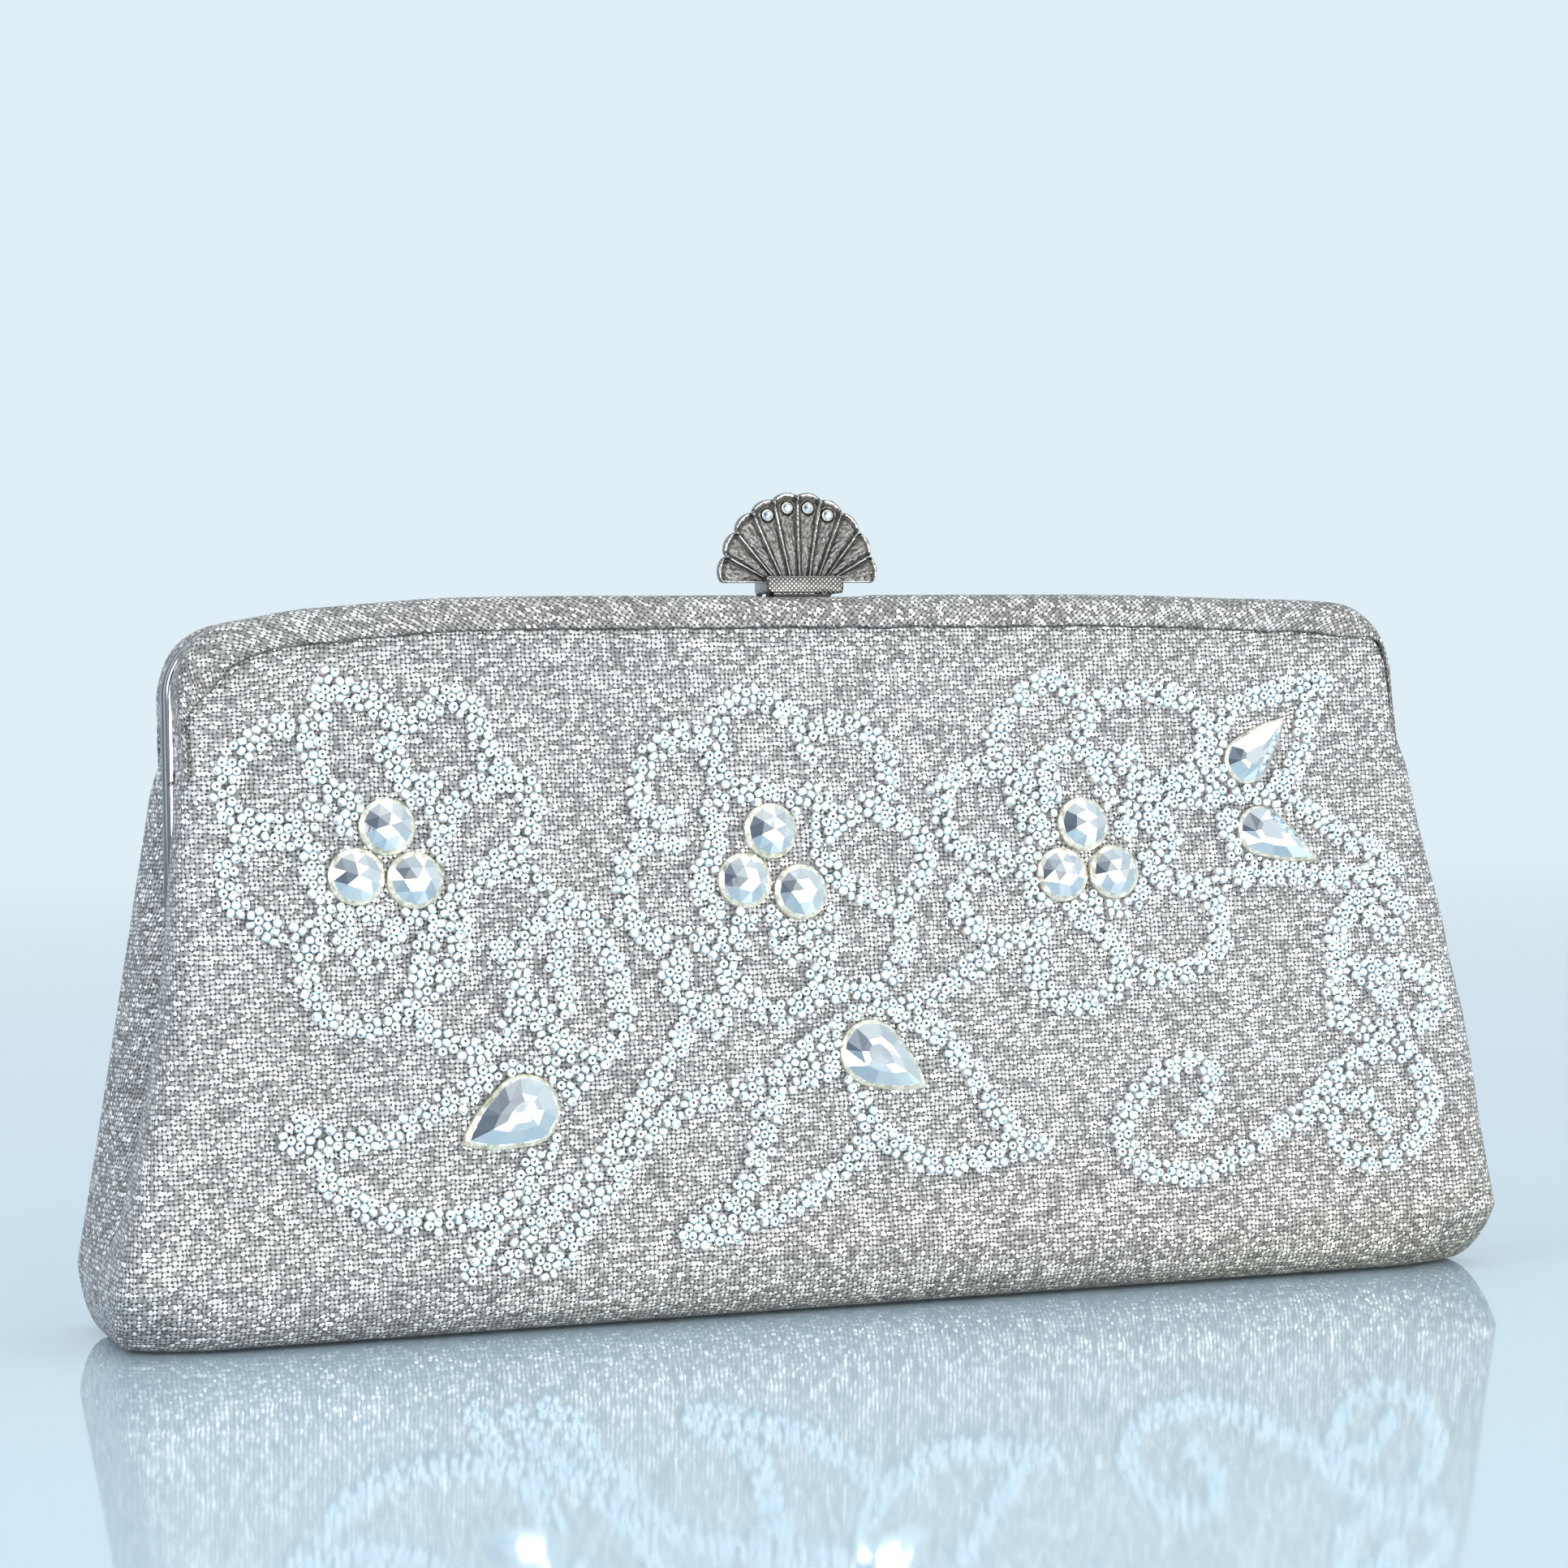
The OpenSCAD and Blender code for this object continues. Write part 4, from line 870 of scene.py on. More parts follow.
SHELL_W, SHELL_H, SHELL_Z, LOBES = 16.0, 17.2, 135.2, 10
NECK_HALF, NECK_FRONT = 7.55, -4.55
NECK_Z, BAR_Z, BAR_HALF = 133.05, 134.6, 1.5
PIVOT_Y, PIVOT_Z, HEEL_R = 1.8, 134.0, 1.4
ROOT_W = 5.6           # half width of the shell where it meets the neck
SOCKET_OUT = 13.3      # how far out the small stones sit


def lobe_centres():
    """The four upper lobes, which carry the small stones: x and z of each."""
    for i in range(3, 7):
        a = math.pi * (i + 0.5) / LOBES
        yield SOCKET_OUT * math.cos(a), SHELL_Z + SOCKET_OUT * math.sin(a) * SHELL_H / SHELL_W


def scallop(metal):
    """The cast scallop shell: ribs, pillowed grained panels, a smooth rim and four sockets."""
    turn_n, out_n = 180, 46
    sockets = list(lobe_centres())
    front, back, relief = [], [], []
    for i in range(turn_n + 1):
        a = math.pi * i / turn_n
        lobe = LOBES * i / turn_n
        phase = lobe - math.floor(lobe)
        rim = SHELL_W - 1.1 + 1.1 * math.sqrt(max(0.0, math.sin(math.pi * phase)))
        for j in range(out_n + 1):
            t = j / out_n
            x0, x1 = ROOT_W * math.cos(a), rim * math.cos(a)
            z1 = rim * math.sin(a) * SHELL_H / SHELL_W
            x, z = x0 + (x1 - x0) * t, SHELL_Z + z1 * t
            reach = ROOT_W * 0.55 + (rim - ROOT_W * 0.55) * t
            nearest = round(lobe)
            aside = abs(lobe - nearest) * math.pi / LOBES * reach
            ribbed = 0 < nearest < LOBES
            half = 0.18 + 0.22 * t
            rib = max(0.0, 1 - (aside / half) ** 2) if ribbed else 0.0
            groove = math.exp(-((aside - half * 1.25) / 0.16) ** 2) if ribbed else 0.0
            edge = smooth(0.95, 0.98, t)
            if not ribbed:
                edge = max(edge, 1 - smooth(0.25, 0.55, aside))
            under = math.exp(-((t - 0.935) / 0.018) ** 2)
            pillow = 0.32 * math.sin(math.pi * phase) * smooth(0.1, 0.5, t)
            grain = noise.noise(Vector((x * 2.6, z * 2.6, 0.4))) * 0.16 + noise.noise(
                Vector((x * 6.1, z * 6.1, 2.2))) * 0.10
            plain = max(rib, edge)
            socket = min(math.hypot(x - sx, z - sz) for sx, sz in sockets)
            pit = 1 - smooth(1.20, 1.36, socket)
            lip = math.exp(-((socket - 1.55) / 0.16) ** 2)
            high = pillow * (1 - plain) + 0.55 * rib ** 0.7 + 0.34 * edge + grain * (1 - plain)
            high -= 0.16 * groove * (1 - edge) + 0.16 * under * (1 - rib)
            high = high * (1 - pit) - 0.30 * pit + 0.14 * lip
            bright = 0.36 + 0.9 * grain / 0.26 * 0.35 + 0.4 * plain - 0.5 * groove - 0.4 * under - 0.6 * pit
            relief.append(min(1.0, max(0.0, bright - 0.25 * math.exp(-((socket - 1.32) / 0.1) ** 2))))
            front.append((x, -(0.50 + 0.75 * (1 - t) ** 2 + high), z))
            back.append((x, 0.62 + 0.4 * (1 - t) + 0.15 * math.sin(math.pi * phase) * t, z))
    n, columns = len(front), out_n + 1
    faces = grid_faces(turn_n + 1, columns, flip=True)
    faces += [tuple(n + v for v in f[::-1]) for f in faces]
    rim_line = [i * columns + out_n for i in range(turn_n + 1)]
    root_line = [i * columns for i in range(turn_n + 1)]
    loop = rim_line + list(range(turn_n * columns + out_n - 1, turn_n * columns, -1)) + root_line[::-1]
    loop += list(range(1, out_n))
    for p, q in zip(loop, loop[1:] + loop[:1]):
        faces.append((p, q, n + q, n + p))
    obj = build("clasp_scallop", front + back, faces, metal, shades=relief + [0.6] * n, field="relief")
    return recalculated(obj)


def extruded(name, outline, x0, x1, material, bevel, relief=0.8):
    """A prism along X from an outline in y and z, with rounded edges."""
    n = len(outline)
    verts = [(x, y, z) for x in (x0, x1) for y, z in outline]
    faces = grid_faces(2, n, loop=True) + [tuple(range(n))[::-1], tuple(range(n, 2 * n))]
    obj = recalculated(build(name, verts, faces, material, shades=[relief] * (2 * n), field="relief"))
    edge = obj.modifiers.new("edge", "BEVEL")
    edge.width = bevel * MM
    edge.segments = 3
    edge.limit_method = "ANGLE"
    edge.angle_limit = math.radians(40)
    return bake(obj)


def joined(name, objs):
    """Several meshes as one object."""
    bpy.ops.object.select_all(action="DESELECT")
    for obj in objs:
        obj.select_set(True)
    bpy.context.view_layer.objects.active = objs[0]
    bpy.ops.object.join()
    objs[0].name = name
    return objs[0]


def clasp_neck(metal, hatched):
    """The hollow neck that carries the shell: cheeks with a rounded heel, top, front wall and bar."""
    top, back = SHELL_Z + 1.1, PIVOT_Y + HEEL_R
    heel = [(PIVOT_Y + HEEL_R * math.cos(a), PIVOT_Z - HEEL_R * math.sin(a))
            for a in (math.pi / 2 * k / 6 for k in range(7))]
    shared = [(NECK_FRONT, NECK_Z), (NECK_FRONT, top), (back, top)]
    parts = [extruded("cheek", shared + heel + [(PIVOT_Y - 0.4, NECK_Z)], side * (NECK_HALF - 1.15),
                      side * NECK_HALF, metal, 0.3) for side in (-1, 1)]
    wall = shared + [(back, top - 0.85), (NECK_FRONT + 1.15, top - 0.85), (NECK_FRONT + 1.15, NECK_Z)]
    parts.append(extruded("wall", wall, 0.7 - NECK_HALF, NECK_HALF - 0.7, metal, 0.3))
    bar_r, bar = 0.8, []
    for cx, cz, start in ((1, 1, 0), (-1, 1, 90), (-1, -1, 180), (1, -1, 270)):
        for k in range(5):
            a = math.radians(start + 22.5 * k)
            bar.append(((NECK_HALF - bar_r) * cx + bar_r * math.cos(a),
                        BAR_Z + (BAR_HALF - bar_r) * cz + bar_r * math.sin(a)))
    n = len(bar)
    steps_out = ((0.5, 1.0), (-0.15, 1.0), (-0.32, 0.97), (-0.36, 0.93))
    verts = [(x * size, NECK_FRONT + dy, BAR_Z + (z - BAR_Z) * size)
             for dy, size in steps_out for x, z in bar]
    faces = grid_faces(4, n, loop=True) + [tuple(range(n))[::-1], tuple(range(3 * n, 4 * n))]
    front = recalculated(build("bar", verts, faces, hatched, shades=[0.8] * (4 * n), field="relief"))
    return joined("clasp_neck", parts + [front])


# ------------------------------------------------------------------ stones

ROUND_SPOTS = [
    (-84.2, 91), (-90.2, 82.3), (-79.6, 81.4),
    (-12.1, 88.6), (-17.8, 79.6), (-7, 77.2),
    (50.8, 88.3), (45.6, 78.9), (56.4, 79.1)]
# x, height, direction of the tip, length, and half width over length.
PEARS_UPPER = [(86.3, 99.8, 42, 17.3, 0.27), (88.4, 86.2, -27, 18.5, 0.27)]
PEARS_LOWER = [(-61.5, 40, 205, 20, 0.33), (5, 47.3, -33, 19, 0.33)]
STONE_R, STONE_H = 5.25, 3.4


class Facets:
    """Collects flat-shaded facets, each with its own brightness."""

    def __init__(self, seed):
        self.verts, self.faces, self.slots, self.shades = [], [], [], []
        self.rng = random.Random(seed)

    def ring(self, points):
        start = len(self.verts)
        self.verts += points
        return list(range(start, start + len(points)))

    def face(self, corners, rim=False):
        self.faces.append(tuple(corners))
        self.slots.append(1 if rim else 0)
        self.shades.append(self.rng.random())

    def belt(self, a, b, rim=True):
        n = len(a)
        for i in range(n):
            self.face((a[i], a[(i + 1) % n], b[(i + 1) % n], b[i]), rim)

    def finish(self, name, materials):
        return build(name, self.verts, self.faces, materials, slots=self.slots, flat=True,
                     shades=self.shades, domain="FACE")


def cut_round(stones, centre, out, right, up, r, h, turn, sink):
    """A rose-cut round stone: yellowed rim, a star of facets and six facets to the point."""
    def at(radius, angle, height):
        a = math.radians(angle) + turn
        return centre + right * (radius * math.cos(a)) + up * (radius * math.sin(a)) + out * height

    n = 24
    bottom = stones.ring([at(r * 0.97, 15 * k, -sink) for k in range(n)])
    girdle = stones.ring([at(r, 15 * k, h * 0.16) for k in range(n)])
    shoulder = stones.ring([at(r * 0.975, 15 * k, h * 0.33) for k in range(n)])
    crown = stones.ring([at(r * 0.83 * (1 if k % 2 == 0 else math.cos(math.radians(15))), 15 * k, h * 0.52)
                         for k in range(n)])
    hexagon = stones.ring([at(r * 0.46, 60 * k, h * 0.86) for k in range(6)])
    tip = stones.ring([at(0, 0, h)])[0]
    stones.face(bottom[::-1], True)
    stones.belt(bottom, girdle)
    stones.belt(girdle, shoulder)
    stones.belt(shoulder, crown)
    for k in range(6):
        here, after = hexagon[k], hexagon[(k + 1) % 6]
        c = [crown[(4 * k + i) % n] for i in range(-2, 3)]
        stones.face((here, c[0], c[1], c[2]))
        stones.face((here, c[2], c[3], c[4]))
        stones.face((here, c[4], after))
        stones.face((here, after, tip))


def pear_outline(length, fat, scale, n):
    """A circle drawn out to a tip along +X; the first point is the tip."""
    r, tip = length * fat, length * (1 - fat)
    b = math.acos(r / tip)
    flank = math.sqrt(tip * tip - r * r)
    arc = r * (2 * math.pi - 2 * b)
    total = 2 * flank + arc

    def on_flank(q, side):
        bow = 0.035 * length * math.sin(math.pi * q)
        return (tip + (r * math.cos(b) - tip) * q + bow * math.cos(b),
                side * (r * math.sin(b) * q + bow * math.sin(b)))

    points = []
    for k in range(n):
        s = total * k / n
        if s < flank:
            x, y = on_flank(s / flank, 1)
        elif s < flank + arc:
            a = b + (s - flank) / r
            x, y = r * math.cos(a), r * math.sin(a)
        else:
            x, y = on_flank((total - s) / flank, -1)
        points.append((x * scale, y * scale))
    return points


def cut_pear(stones, spot):
    """A pear-cut stone: rim, long facets to the tip and a broad table over the round end."""
    x, z, degrees, length, fat = spot
    centre, out, right, up = on_face(x, z)
    a = math.radians(degrees)
    along = right * math.cos(a) + up * math.sin(a)
    aside = out.cross(along)

    def ring(scale, height, n, shift=0.0):
        return stones.ring([centre + along * (px + shift) + aside * py + out * height
                            for px, py in pear_outline(length, fat, scale, n)])

    n = 27
    bottom, girdle = ring(0.98, -0.9, n), ring(1.0, 0.6, n)
    shoulder, crown = ring(0.975, 1.0, n), ring(0.87, 1.55, n)
    table = ring(0.50, STONE_H * 0.88, 9, 0.03 * length)
    peak = ring(0.30, STONE_H * 0.96, 9, 0.02 * length)
    stones.face(bottom[::-1], True)
    stones.belt(bottom, girdle)
    stones.belt(girdle, shoulder)
    stones.belt(shoulder, crown)
    for k in range(9):
        c = [crown[(3 * k + i) % n] for i in range(4)]
        stones.face((table[k], c[0], c[1], c[2], c[3], table[(k + 1) % 9]))
        stones.face((peak[k], table[k], table[(k + 1) % 9], peak[(k + 1) % 9]))
    stones.face(peak)


def make_stones(materials):
    rounds = Facets(4)
    for i, (x, z) in enumerate(ROUND_SPOTS):
        centre, out, right, up = on_face(x, z)
        cut_round(rounds, centre, out, right, up, STONE_R, STONE_H, 0.3 + 0.37 * i, 0.8)
    upper, lower, small = Facets(5), Facets(6), Facets(7)
    for spot in PEARS_UPPER:
        cut_pear(upper, spot)
    for spot in PEARS_LOWER:
        cut_pear(lower, spot)
    for i, (x, z) in enumerate(lobe_centres()):
        cut_round(small, Vector((x, -0.62, z)), Vector((0, -1, 0)), Vector((1, 0, 0)), Vector((0, 0, 1)),
                  1.12, 0.75, 0.5 * i, 0.15)
    return [s.finish(name, materials) for s, name in (
        (rounds, "stones_round"), (upper, "stones_pear_upper"), (lower, "stones_pear_lower"),
        (small, "stones_clasp"))]


# ------------------------------------------------------------------ seed beads

# Width of each trail and the points of its middle line, as x and height.
TRAILS = [
  # left flower: outer petals, clockwise from the upper left
  [4.6, [[-96.5, 101.5], [-97, 106], [-96.5, 110], [-95, 113.5], [-93, 117], [-90, 115.5],
         [-86, 114], [-83, 111], [-81.5, 108], [-83, 104.5], [-81.5, 100.5]]],
  [4.2, [[-80, 109.5], [-77, 111], [-73, 113.5], [-70, 113.5], [-67, 111.5], [-66, 107],
         [-65, 103], [-62, 100.5]]],
  [4.2, [[-73, 93], [-70, 96], [-66, 98.5], [-62, 100], [-58.5, 98], [-57, 94],
         [-58, 90], [-60, 87], [-64, 84]]],
  [4.2, [[-71, 79], [-68, 82], [-63, 83.5], [-59, 82.5], [-56, 79.5], [-54.5, 76],
         [-57.5, 72], [-61, 69], [-65, 68.5]]],
  [4.2, [[-62, 68], [-62, 63], [-60.5, 59], [-64, 54.5], [-68, 51.5], [-72, 51],
         [-76, 53], [-79, 56]]],
  [4.2, [[-80, 60.5], [-82, 58], [-85, 56.5], [-90, 55.5], [-94, 57], [-97.5, 59.5],
         [-99, 62.5], [-99.5, 66.5], [-98.5, 71]]],
  [4, [[-98, 73], [-101, 72], [-105, 73], [-109, 75.5], [-112, 78.5], [-113.5, 82],
       [-112.5, 86], [-109.5, 89], [-104, 90]]],
  [4, [[-97, 108.5], [-102, 109], [-107, 107.5], [-111, 103.5], [-113, 99], [-113, 95],
       [-110.5, 92.5], [-106, 91.5], [-101, 91.5], [-98, 93], [-95.5, 96], [-92, 97.5],
       [-90.5, 94.5], [-91.5, 91]]],
  # left flower: inner ring
  [3.6, [[-102, 90], [-99, 88], [-97.5, 85], [-98, 82], [-96.5, 79.5]]],
  [3.8, [[-98, 72.5], [-95, 75.5], [-91, 76.5], [-87.5, 76]]],
  [3.8, [[-93.5, 74], [-92, 70], [-90, 67.5], [-87, 68], [-84.5, 70.5], [-83, 73.5],
         [-79.5, 75.5]]],
  [4, [[-76, 76], [-77.5, 72], [-78.5, 68], [-79, 64], [-76.5, 62.5], [-74, 65.5],
       [-71.5, 68.5], [-71.5, 72], [-73.5, 76], [-72.5, 79]]],
  [4.4, [[-80, 96.5], [-77, 98.5], [-74.5, 96], [-74, 92], [-75, 88], [-76, 85.5]]],
  # two trails that run from the left flower down to the leaf
  [4.2, [[-55, 76], [-50, 76], [-47.5, 73], [-45.5, 69], [-43.5, 64], [-42.5, 59],
         [-42.5, 55], [-44.5, 51], [-48, 48.5], [-51.5, 45], [-54.5, 42.5]]],
  [4, [[-53, 74], [-53, 70], [-54, 65], [-53, 60], [-55, 56], [-58, 57], [-59, 60]]],
  [5.4, [[-58, 57], [-56, 52.5], [-53.5, 51]]],
  [4, [[-56, 52], [-57, 47.5], [-55, 43.5]]],
  # leaf round the lower left pear stone
  [4.4, [[-54, 43.5], [-60, 46], [-65, 46.5], [-70, 45], [-74, 42.5], [-78, 41],
         [-83, 38.5], [-88, 36.5], [-93, 35.5], [-98, 37], [-102, 39]]],
  [3, [[-75, 41.5], [-73.5, 39]]],
  [3.6, [[-105, 37.5], [-101, 35.5], [-98.5, 32]]],
  [4.2, [[-98, 30], [-96.5, 27], [-92, 24.5], [-88, 22.5], [-83, 21.5], [-78, 21.5],
         [-72, 22], [-67, 22.8], [-63, 24.5], [-61, 28], [-59.5, 31.5], [-58, 35.5],
         [-56.5, 39]]],
  # three stems
  [3.8, [[-64, 22.5], [-67, 20], [-69.5, 17.5], [-71.5, 14.5], [-73.5, 12]]],
  [3.8, [[-66, 12.5], [-63.5, 15.5], [-61, 18], [-59, 21], [-56, 23.5], [-53, 26],
         [-50, 28.5], [-47, 31.5], [-44, 34.5], [-41, 38.5], [-38.5, 42], [-36, 45.5],
         [-33.5, 49.5], [-31, 53]]],
  [4, [[-59, 12], [-56, 14.5], [-54, 17.5], [-51, 20.5], [-48.5, 24], [-45.5, 27],
       [-43, 30.5], [-40, 33.5], [-36, 36.5], [-32, 39], [-27, 40.5], [-22, 41.3],
       [-18, 42.5], [-14, 44.5], [-10, 47], [-5, 49.5], [-1, 52], [3, 54], [8, 55],
       [13, 55.8], [17, 57], [21, 59], [25, 61.5], [29, 64], [33, 66.5]]],
  # two leaves under the lower middle pear stone
  [4.4, [[-1, 46.5], [-5, 44], [-9, 44.5], [-13, 42.5], [-15.5, 39], [-16.5, 35],
         [-17.5, 31], [-18.5, 27.5], [-20, 24.5], [-22.5, 22], [-26.5, 19.5], [-31, 17]]],
  [3.8, [[-32, 16], [-27, 16], [-22, 17.5], [-17, 19], [-12, 20.5], [-8, 22.5],
         [-4, 24.5], [-0.5, 27.5], [2, 30.5]]],
  [4, [[1, 43], [2, 39], [3.5, 36], [6, 33], [9, 30], [12, 28], [16, 26.5], [20, 26.3],
       [25, 27], [30, 28], [34, 28.5], [38, 28.5]]],
  [4, [[6, 54], [10, 52.5], [15, 52.5], [19, 50.5], [21.5, 47.5], [23.5, 44.5],
       [26, 41], [28, 37.5], [30, 34.5], [32, 31.5], [35, 29.5]]],
  # middle flower: outer petals
  [4, [[-21.5, 98.5], [-22.5, 102.5], [-24.5, 106], [-30, 106.5], [-34, 103.5],
       [-36.5, 99], [-37, 94.5], [-35, 91.5], [-31.5, 91.5]]],
  [4, [[-31, 86.5], [-34, 87.5], [-38, 86.5], [-40.5, 82.5], [-41, 78], [-41, 74],
       [-38, 71.5], [-34.5, 69]]],
  [5.2, [[-35, 69], [-32, 66], [-32.5, 62]]],
  [4, [[-33, 60], [-30, 57.5], [-26, 56.5], [-22.5, 58], [-20, 61], [-22.5, 63.5]]],
  [3.8, [[-31.5, 53.5], [-27.5, 54.5], [-24.5, 53.5]]],
  [4, [[-19.5, 60], [-17, 56.5], [-13, 54.8], [-9.5, 56], [-6, 58.5], [-2, 59],
       [3, 58.5], [7.5, 59.5], [10.5, 62.5], [12.5, 66], [13.5, 70], [12.5, 74],
       [8, 75], [4.5, 77], [1.5, 79.5]]],
  [4.2, [[13, 73], [15, 77], [17.5, 80], [18.5, 84], [17, 87.5], [14, 89.5], [10, 91.5]]],
  [4, [[-3.5, 103], [-1, 107.5], [3, 108.5], [7, 107.5], [10, 104.5], [12, 101],
       [12, 97], [10.5, 93.5], [7, 92.5], [3, 90.5], [0, 88.5]]],
  [4.2, [[-21.5, 105], [-21.5, 108.5], [-19, 111.5], [-15.5, 113.5], [-11.5, 113],
         [-8, 111], [-5, 108], [-4.5, 104], [-4, 101.5]]],
  # middle flower: inner ring
  [4, [[-26, 77.5], [-26, 81], [-24, 85], [-22.5, 89], [-23, 93], [-20, 95.5],
       [-16, 96.5], [-12, 95.3]]],
  [4, [[-8.5, 92.5], [-7, 94.5], [-3, 95], [-0.8, 92.5], [-1.5, 89], [-1.5, 86],
       [-2, 83], [-0.5, 80]]],
  [4, [[-34, 69.5], [-30, 69], [-26, 68.5], [-22, 67.5], [-19, 69.5], [-17.5, 73]]],
  [3.8, [[-24.5, 75.5], [-23.5, 71]]],
  [4.4, [[-11.5, 73], [-11.5, 69.5], [-9.5, 66.5], [-6.5, 67.5], [-5.5, 70.5], [-2.5, 73]]],
  [4.4, [[-3, 71], [-2.5, 67], [-4, 63], [-4.5, 60]]],
  # right flower: outer petals
  [5.2, [[34.5, 100], [34, 104], [35.5, 107.5]]],
  [4, [[35.5, 107.5], [39.5, 112.5], [44, 115.5], [48.5, 115.5], [51.5, 112], [54, 109],
       [52.5, 106]]],
  [4, [[54, 111], [58, 112], [65, 113.5], [70, 113], [75, 111.5], [78, 108.5],
       [78.5, 104], [77, 100], [73, 97], [68, 95.5], [65, 93.5]]],
  [4.2, [[40, 97], [36, 98.5], [30, 99], [25, 98], [22, 95], [22.5, 91], [23.5, 87],
         [27, 83.5], [31, 82.5], [34, 83]]],
  [4.2, [[32, 81], [27.5, 79], [24, 76], [24.5, 72], [28, 68.5], [33, 67.5], [37, 67.5],
         [41, 68.5]]],
  [4, [[39.5, 67], [38.5, 62], [39, 58.5], [42, 56], [46.5, 54.7], [51, 55], [55, 57.5],
       [57.5, 61], [56.5, 64.5], [54, 68], [50, 70]]],
  [4, [[58, 62.5], [61.5, 60], [66, 59.3], [70, 60], [75, 62], [78, 65], [78, 69],
       [77, 73], [74, 75.5], [70, 76.5], [66, 78.5], [63, 81]]],
  [4, [[75, 75.5], [80, 77.5], [85, 78]]],
  [4.2, [[67, 93.5], [71, 93], [76, 93.2], [80, 93]]],
  # right flower: inner ring
  [5.4, [[38.5, 95], [39.5, 90.5], [42.5, 87.5]]],
  [4.4, [[41, 84], [38.5, 82], [39, 78], [40.5, 75]]],
  [5.4, [[43.5, 97.5], [43.5, 92.5]]],
  [4, [[42.5, 99], [46, 102], [50, 103], [54, 101], [56, 97], [56.5, 93]]],
  [4.2, [[59, 99.5], [61.5, 102], [63, 98.5], [62, 94], [60.5, 89.5], [59.5, 86.5]]],
  [4.4, [[63.5, 89.5], [67.5, 88.5], [69, 85], [66, 81.5], [63.5, 82]]],
  [4.6, [[47.5, 72.5], [52, 74], [57, 72.8], [61.5, 75]]],
  # two leaves on the upper right
  [4, [[79.5, 102], [80, 106], [83.5, 110], [88.5, 111.5], [94, 113.5], [99, 114.5],
       [105, 114.5]]],
  [3.8, [[102.5, 113], [101, 109.5], [99.5, 105], [98.5, 101], [96, 97.5], [93, 95]]],
  [4.4, [[80, 98], [83, 94.3], [88, 93], [94, 93], [98, 90.5], [102, 88], [105.5, 85.5],
         [109, 83.5], [113, 81], [116.5, 79]]],
  [4, [[81.5, 90], [82, 85.5], [84, 80.5], [88, 78.3], [93, 77.5], [98, 77], [103, 76.5],
       [108, 77], [113, 77.5], [117, 78]]],
  # curls on the right
  [4.4, [[118, 71], [115, 74], [110, 73.5], [105.5, 70.5], [103, 67], [103, 63]]],
  [4, [[112, 71], [111.5, 67.5], [114, 65.5], [117, 68], [117.5, 72]]],
  [4.4, [[103, 61], [107, 58.5], [112, 58.5], [117, 59], [121.5, 57.5], [124, 54],
         [123.5, 50.5], [120, 48.3], [115, 46.5], [109, 46.5], [104.5, 48], [101.5, 50.5],
         [101.5, 54.5], [103, 59]]],
  [4.6, [[111, 58], [111.5, 54.5], [113.5, 52.8]]],
  [4.2, [[94, 33], [98, 37], [103, 40.5], [108, 42.8], [113, 43.5], [117, 41.5],
         [120, 37.5], [121, 33], [119.5, 28.5], [116.5, 25], [112, 22.5], [107, 21.8],
         [102, 23.5], [99.5, 27], [98, 31]]],
  [3.8, [[97, 32.5], [101, 33], [106, 34], [109, 31.5], [110.5, 28]]],
  # wave and scroll on the lower right
  [3.8, [[98, 34.5], [94, 32.5], [90, 30.5], [86, 28.5], [82, 26], [78, 24], [73, 22.5],
         [68, 21.5], [63, 22], [59, 23.5], [56, 26], [54.5, 30], [56, 34], [59, 37.5],
         [63, 40.5], [68, 42.3], [72, 42], [74.5, 40.5]]],
  [3.6, [[73, 39], [73, 35.5], [71, 32.5], [68, 30]]]
]

BEAD_GAP = 1.68        # distance between the middles of two beads that touch
BEAD_R, BEAD_HALF = 0.89, 0.62
STONE_MARGIN = 0.62    # a bead's middle keeps this far from a stone
LEFT_END, MIDDLE_END = -46.0, 19.5   # where the left and middle groups of beads end


def up_face(z):
    return (z - ROUND_Z) * math.hypot(1, LEAN)


def from_up(v):
    return ROUND_Z + v / math.hypot(1, LEAN)


def near_segment(p, a, b):
    dx, dy = b[0] - a[0], b[1] - a[1]
    t = ((p[0] - a[0]) * dx + (p[1] - a[1]) * dy) / (dx * dx + dy * dy)
    t = min(1.0, max(0.0, t))
    return math.hypot(p[0] - a[0] - dx * t, p[1] - a[1] - dy * t)


def in_stone(p, margin):
    """Whether a place on the face is under a stone."""
    for x, z in ROUND_SPOTS:
        if math.hypot(p[0] - x, p[1] - up_face(z)) < STONE_R + margin:
            return True
    for x, z, degrees, length, fat in PEARS_UPPER + PEARS_LOWER:
        a = math.radians(degrees)
        dx, dy = p[0] - x, p[1] - up_face(z)
        along, aside = dx * math.cos(a) + dy * math.sin(a), abs(dy * math.cos(a) - dx * math.sin(a))
        r, tip = length * fat, length * (1 - fat)
        if math.hypot(along, aside) < r + margin:
            return True
        flank = (tip - along) * r / math.sqrt(tip * tip - r * r)
        if 0 < along < tip + margin and aside < flank + margin + 0.4:
            return True
    return False


